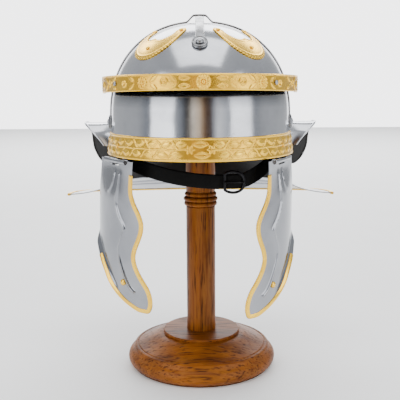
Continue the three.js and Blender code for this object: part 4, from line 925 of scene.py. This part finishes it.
def cheek(where, along, drop, out):
    """Point of a plate: flat at the hinge, bent to a circle below it, and flared along its lower rear edge."""
    origin, ahead, away = where
    bend = smooth(BEND_TOP, BEND_END, drop)
    curve = np.maximum(bend, 1e-6) / CHEEK_CURVE
    tilt = curve * (along + CHEEK_BACK)
    share = drop / CHEEK_LENGTH
    inset = np.clip(along - CHEEK_REAR * flowing(REAR_ROWS, share), 0, None)
    flare = np.clip(1 - inset / FLARE_WIDTH, 0, 1) ** 1.5 * smooth(0.5, 0.6, share) * (1 - smooth(0.8, 0.97, share))
    level = np.sin(tilt) / curve - CHEEK_BACK + out * np.sin(tilt) + CHEEK_LEAN * np.sign(away[0]) * drop
    rise = (np.cos(tilt) - 1) / curve + CHEEK_HANG * bend + CHEEK_FLARE * flare + out * np.cos(tilt)
    return origin + level[..., None] * ahead + rise[..., None] * away - drop[..., None] * np.array([0, 0, 1.0])


def cheek_ribs(along, drop):
    """Height of the embossing: a wavy rib down the plate and a short one beside it, with soft shoulders."""
    paths = []
    for rows, count in ((LONG_RIB, 60), (SHORT_RIB, 12)):
        keys = np.linspace(rows[0][0], rows[-1][0], count)
        paths.append(list(zip(flowing(rows, keys) * CHEEK_FRONT, keys * CHEEK_LENGTH)))
    long_path, short_path = paths
    broad = 0.5 * ridge(along, drop, long_path, 4.6) + 0.35 * ridge(along, drop, short_path, 3.6)
    return broad + 1.5 * ridge(along, drop, long_path, 1.5) + 1.2 * ridge(along, drop, short_path, 1.3)


def cheek_sheet(name, where):
    share = np.concatenate([np.linspace(-0.01, 0.9, 150), np.linspace(0.903, 1.0, 30)])[:, None]
    rear, front = CHEEK_REAR * flowing(REAR_ROWS, share), CHEEK_FRONT * flowing(FRONT_ROWS, share)
    across = np.linspace(0, 1, 96)[None, :]
    along = rear + (front - rear) * across
    drop = share * CHEEK_LENGTH + 0 * along
    notch = (np.abs(along) < LEAF_HALF + 0.6) & (drop < 4.5)
    drop = np.where(notch, 4.5, drop)
    rib = cheek_ribs(along, drop) * smooth(4, 14, drop)
    outer, inner = cheek(where, along, drop, 0.6 + rib), cheek(where, along, drop, -0.6 + rib)
    plate = shell(f"cheek_plate_{name}", outer, inner, shaded_sheet_steel)
    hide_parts(f"cheek_guard_{name}")
    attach(plate, f"cheek_guard_{name}_body")
    origin, ahead, _ = where
    for end, low in (("front", LEAF_HALF + 0.3), ("rear", -KNUCKLE_HALF)):
        length = KNUCKLE_HALF - LEAF_HALF - 0.3
        rows = [(0, 0), (KNUCKLE_RADIUS - 0.3, 0), (KNUCKLE_RADIUS, 0.3), (KNUCKLE_RADIUS, length - 0.3),
                (KNUCKLE_RADIUS - 0.3, length), (0, length)]
        barrel = revolved(f"cheek_knuckle_{end}_{name}", rows, origin + ahead * low, ahead, 32, shaded_sheet_steel)
        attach(barrel, f"cheek_guard_{name}_body")


def cheek_fold(name, where):
    """Brass edging from the throat of the front edge round the tip and up the rear edge."""
    down = np.linspace(0.075, 1.0, 160)
    front = np.stack([CHEEK_FRONT * flowing(FRONT_ROWS, down), down * CHEEK_LENGTH], axis=-1)
    back = np.linspace(1.0, 0.667, 80)
    rear = np.stack([CHEEK_REAR * flowing(REAR_ROWS, back), back * CHEEK_LENGTH], axis=-1)
    path = np.concatenate([front, rear[1:]])
    step = np.concatenate([[0], np.cumsum(np.hypot(*np.diff(path, axis=0).T))])
    even = np.linspace(0, step[-1], 340)
    path = np.stack([np.interp(even, step, path[:, k]) for k in (0, 1)], axis=-1)
    kernel = np.ones(9) / 9
    padded = np.concatenate([path[:1].repeat(4, 0), path, path[-1:].repeat(4, 0)])
    path = np.stack([np.convolve(padded[:, k], kernel, "valid") for k in (0, 1)], axis=-1)
    run = unit(np.gradient(path, axis=0))
    edge = cheek(where, path[:, 0], path[:, 1], 0)
    spot = path - 0.5 * np.stack([run[:, 1], -run[:, 0]], axis=-1)
    out = unit(edge - cheek(where, spot[:, 0], spot[:, 1], 0))
    up = unit(np.cross(np.gradient(edge, axis=0), out))
    up *= np.sign(up @ where[2])[:, None]
    fold = bound(f"cheek_fold_{name}", edge, out, up, 0.6, 0.7, 3.3, bright_brass)
    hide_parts(f"cheek_edging_{name}")
    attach(fold, f"cheek_guard_{name}_body")


for name, where in (("right", cheek_frame(1, 24.8, 84.0)), ("left", cheek_frame(-1, 32.0, 88.0))):
    cheek_sheet(name, where)
    cheek_fold(name, where)
    low, high = (cheek(where, np.array(RIVET_ALONG), np.array(RIVET_DROP), out) for out in (0.7, 6.0))
    dome_head(f"cheek_rivet_{name}_head", low, high - low, 3.4, 2.4, bright_brass,
              f"cheek_guard_{name}_body", 32)

# The hinges. A leaf inside the rim carries the middle knuckle of each, and a steel pin runs through
# all three. These are the frame's own solids with the steels of the parts that they join.
for name in ("left", "right"):
    for node, material in ((f"hinge_leaf_{name}", shaded_sheet_steel), (f"hinge_pin_{name}", shaded_bar_steel)):
        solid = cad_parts[node]
        solid.data.materials.clear()
        solid.data.materials.append(material)

# The chin strap. Two lengths of black leather with bevelled edges, fixed inside the wall behind the
# hinges. The longer one is folded round the buckle's bar, and the other passes behind it.
LEATHER_HALF, TAIL = 7.5, 9.0


def along_route(route, count):
    """Even points on a smooth curve through a route, and how far along it each one is."""
    route = np.array(route, dtype=float)
    key = np.concatenate([[0], np.cumsum(np.linalg.norm(np.diff(route, axis=0), axis=-1))])
    fine = np.linspace(0, key[-1], 900)
    curve = np.stack([flowing(np.stack([key, route[:, k]], axis=-1), fine) for k in range(3)], axis=-1)
    length = np.concatenate([[0], np.cumsum(np.linalg.norm(np.diff(curve, axis=0), axis=-1))])
    even = np.linspace(0, length[-1], count)
    return np.stack([np.interp(even, length, curve[:, k]) for k in range(3)], axis=-1), even


def black_leather(shade):
    place = shade.node("ShaderNodeTexCoord", output=3)
    cell = shade.node("ShaderNodeTexVoronoi", {}, {"Vector": place, "Scale": 900.0})
    crease = shade.noise(75.0, 5.0, 0.6)
    worn = crease.held(0.55, 0.78)
    return {"Base Color": (worn * 0.4).mix(tone("050505"), tone("171514")), "Roughness": crease * 0.2 + 0.4,
            "Normal": bump(shade, cell * 0.6 + crease * 1.5, 0.0003, 0.6)}


leather = finish("black_leather", black_leather, {"Specular IOR Level": 0.1})


def chin_strap(name, route, tail):
    centre, even = along_route(route, 220)
    run = unit(np.gradient(centre, axis=0))
    up = unit(np.array([0, 0, 1.0]) - run[:, 2:] * run)
    face = np.cross(run, up)
    angle = np.radians(np.linspace(0, 360, 29)[:-1])
    x, y = powered(np.cos(angle), 0.3) * LEATHER_HALF, powered(np.sin(angle), 0.5)
    left_over = even[-1] - even
    narrow = np.where((left_over < TAIL) & tail, 0.45 + 0.55 * np.sqrt(np.clip(left_over / TAIL, 0, 1)), 1.0)
    thick = 1.0 - 0.25 * (np.abs(x) > 6.6)
    rings = (centre[:, None] + (narrow[:, None] * x)[..., None] * up[:, None]
             + (y * thick)[:, None] * face[:, None])
    made = lofted(f"chin_leather_{name}", rings, leather, sharp=60)
    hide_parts(f"chin_strap_{name}")
    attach(made, "helmet")


chin_strap("left", [(-95, -17, 249), (-88.5, -36, 246), (-80, -50, 241), (-66, -61, 235), (-48, -68, 229.5),
                    (-28, -71.5, 224.5), (-6, -72.6, 221), (19.5, -72.6, 219)], False)
chin_strap("right", [(95, -17, 249), (87, -36, 247), (79, -50, 242), (68, -60, 234), (56, -67, 226),
                     (44, -70.2, 220.5), (26, -70.2, 219), (6, -70.2, 220)], True)

# The buckle. A D of steel wire with its straight bar at the strap's fold, and a thin prong that
# lies across it.
# The buckle's steel is near black, so that it shows only as glints: painted shade under the rim.
buckle_shade_steel = worn_steel("buckle_shade_steel", "2c2c2e", "161617")
BUCKLE, BUCKLE_HALF, BUCKLE_TALL = np.array([33.0, -73.0, 219.0]), 11.5, 10.8
angle = np.radians(np.linspace(0, 360, 121)[:-1])
turned_x = np.maximum(BUCKLE_HALF * np.cos(angle), -BUCKLE_HALF * 0.72)
ring = BUCKLE + np.stack([turned_x, 0 * angle, BUCKLE_TALL * powered(np.sin(angle), 0.8)], axis=-1)
ring_side = np.cross(unit(np.roll(ring, -1, axis=0) - np.roll(ring, 1, axis=0)), (0, 1.0, 0))
tube = np.radians(np.linspace(0, 360, 15)[:-1])
wire = (ring[:, None] + 1.5 * np.cos(tube)[:, None] * ring_side[:, None]
        + 1.35 * np.sin(tube)[:, None] * np.array([0, 1.0, 0]))
buckle = piece("buckle_ring", wire.reshape(-1, 3), quads(120, 14, True, True), buckle_shade_steel)
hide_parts("chin_buckle")
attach(buckle, "helmet")
reach = np.linspace(0, 1, 40)
prong_line = BUCKLE + np.stack([-9.9 + 22.4 * reach, -2.6 + 0.25 * np.sin(np.pi * reach), 0 * reach], axis=-1)
prong_size = 1.05 - 0.3 * reach
prong_size = np.where(reach > 0.97, prong_size * 0.5, prong_size)
around_prong = np.stack([0 * tube, np.cos(tube), np.sin(tube)], axis=-1)
tongue = lofted("buckle_tongue", prong_line[:, None] + prong_size[:, None, None] * around_prong, buckle_shade_steel)
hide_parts("chin_buckle_prong")
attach(tongue, "helmet")
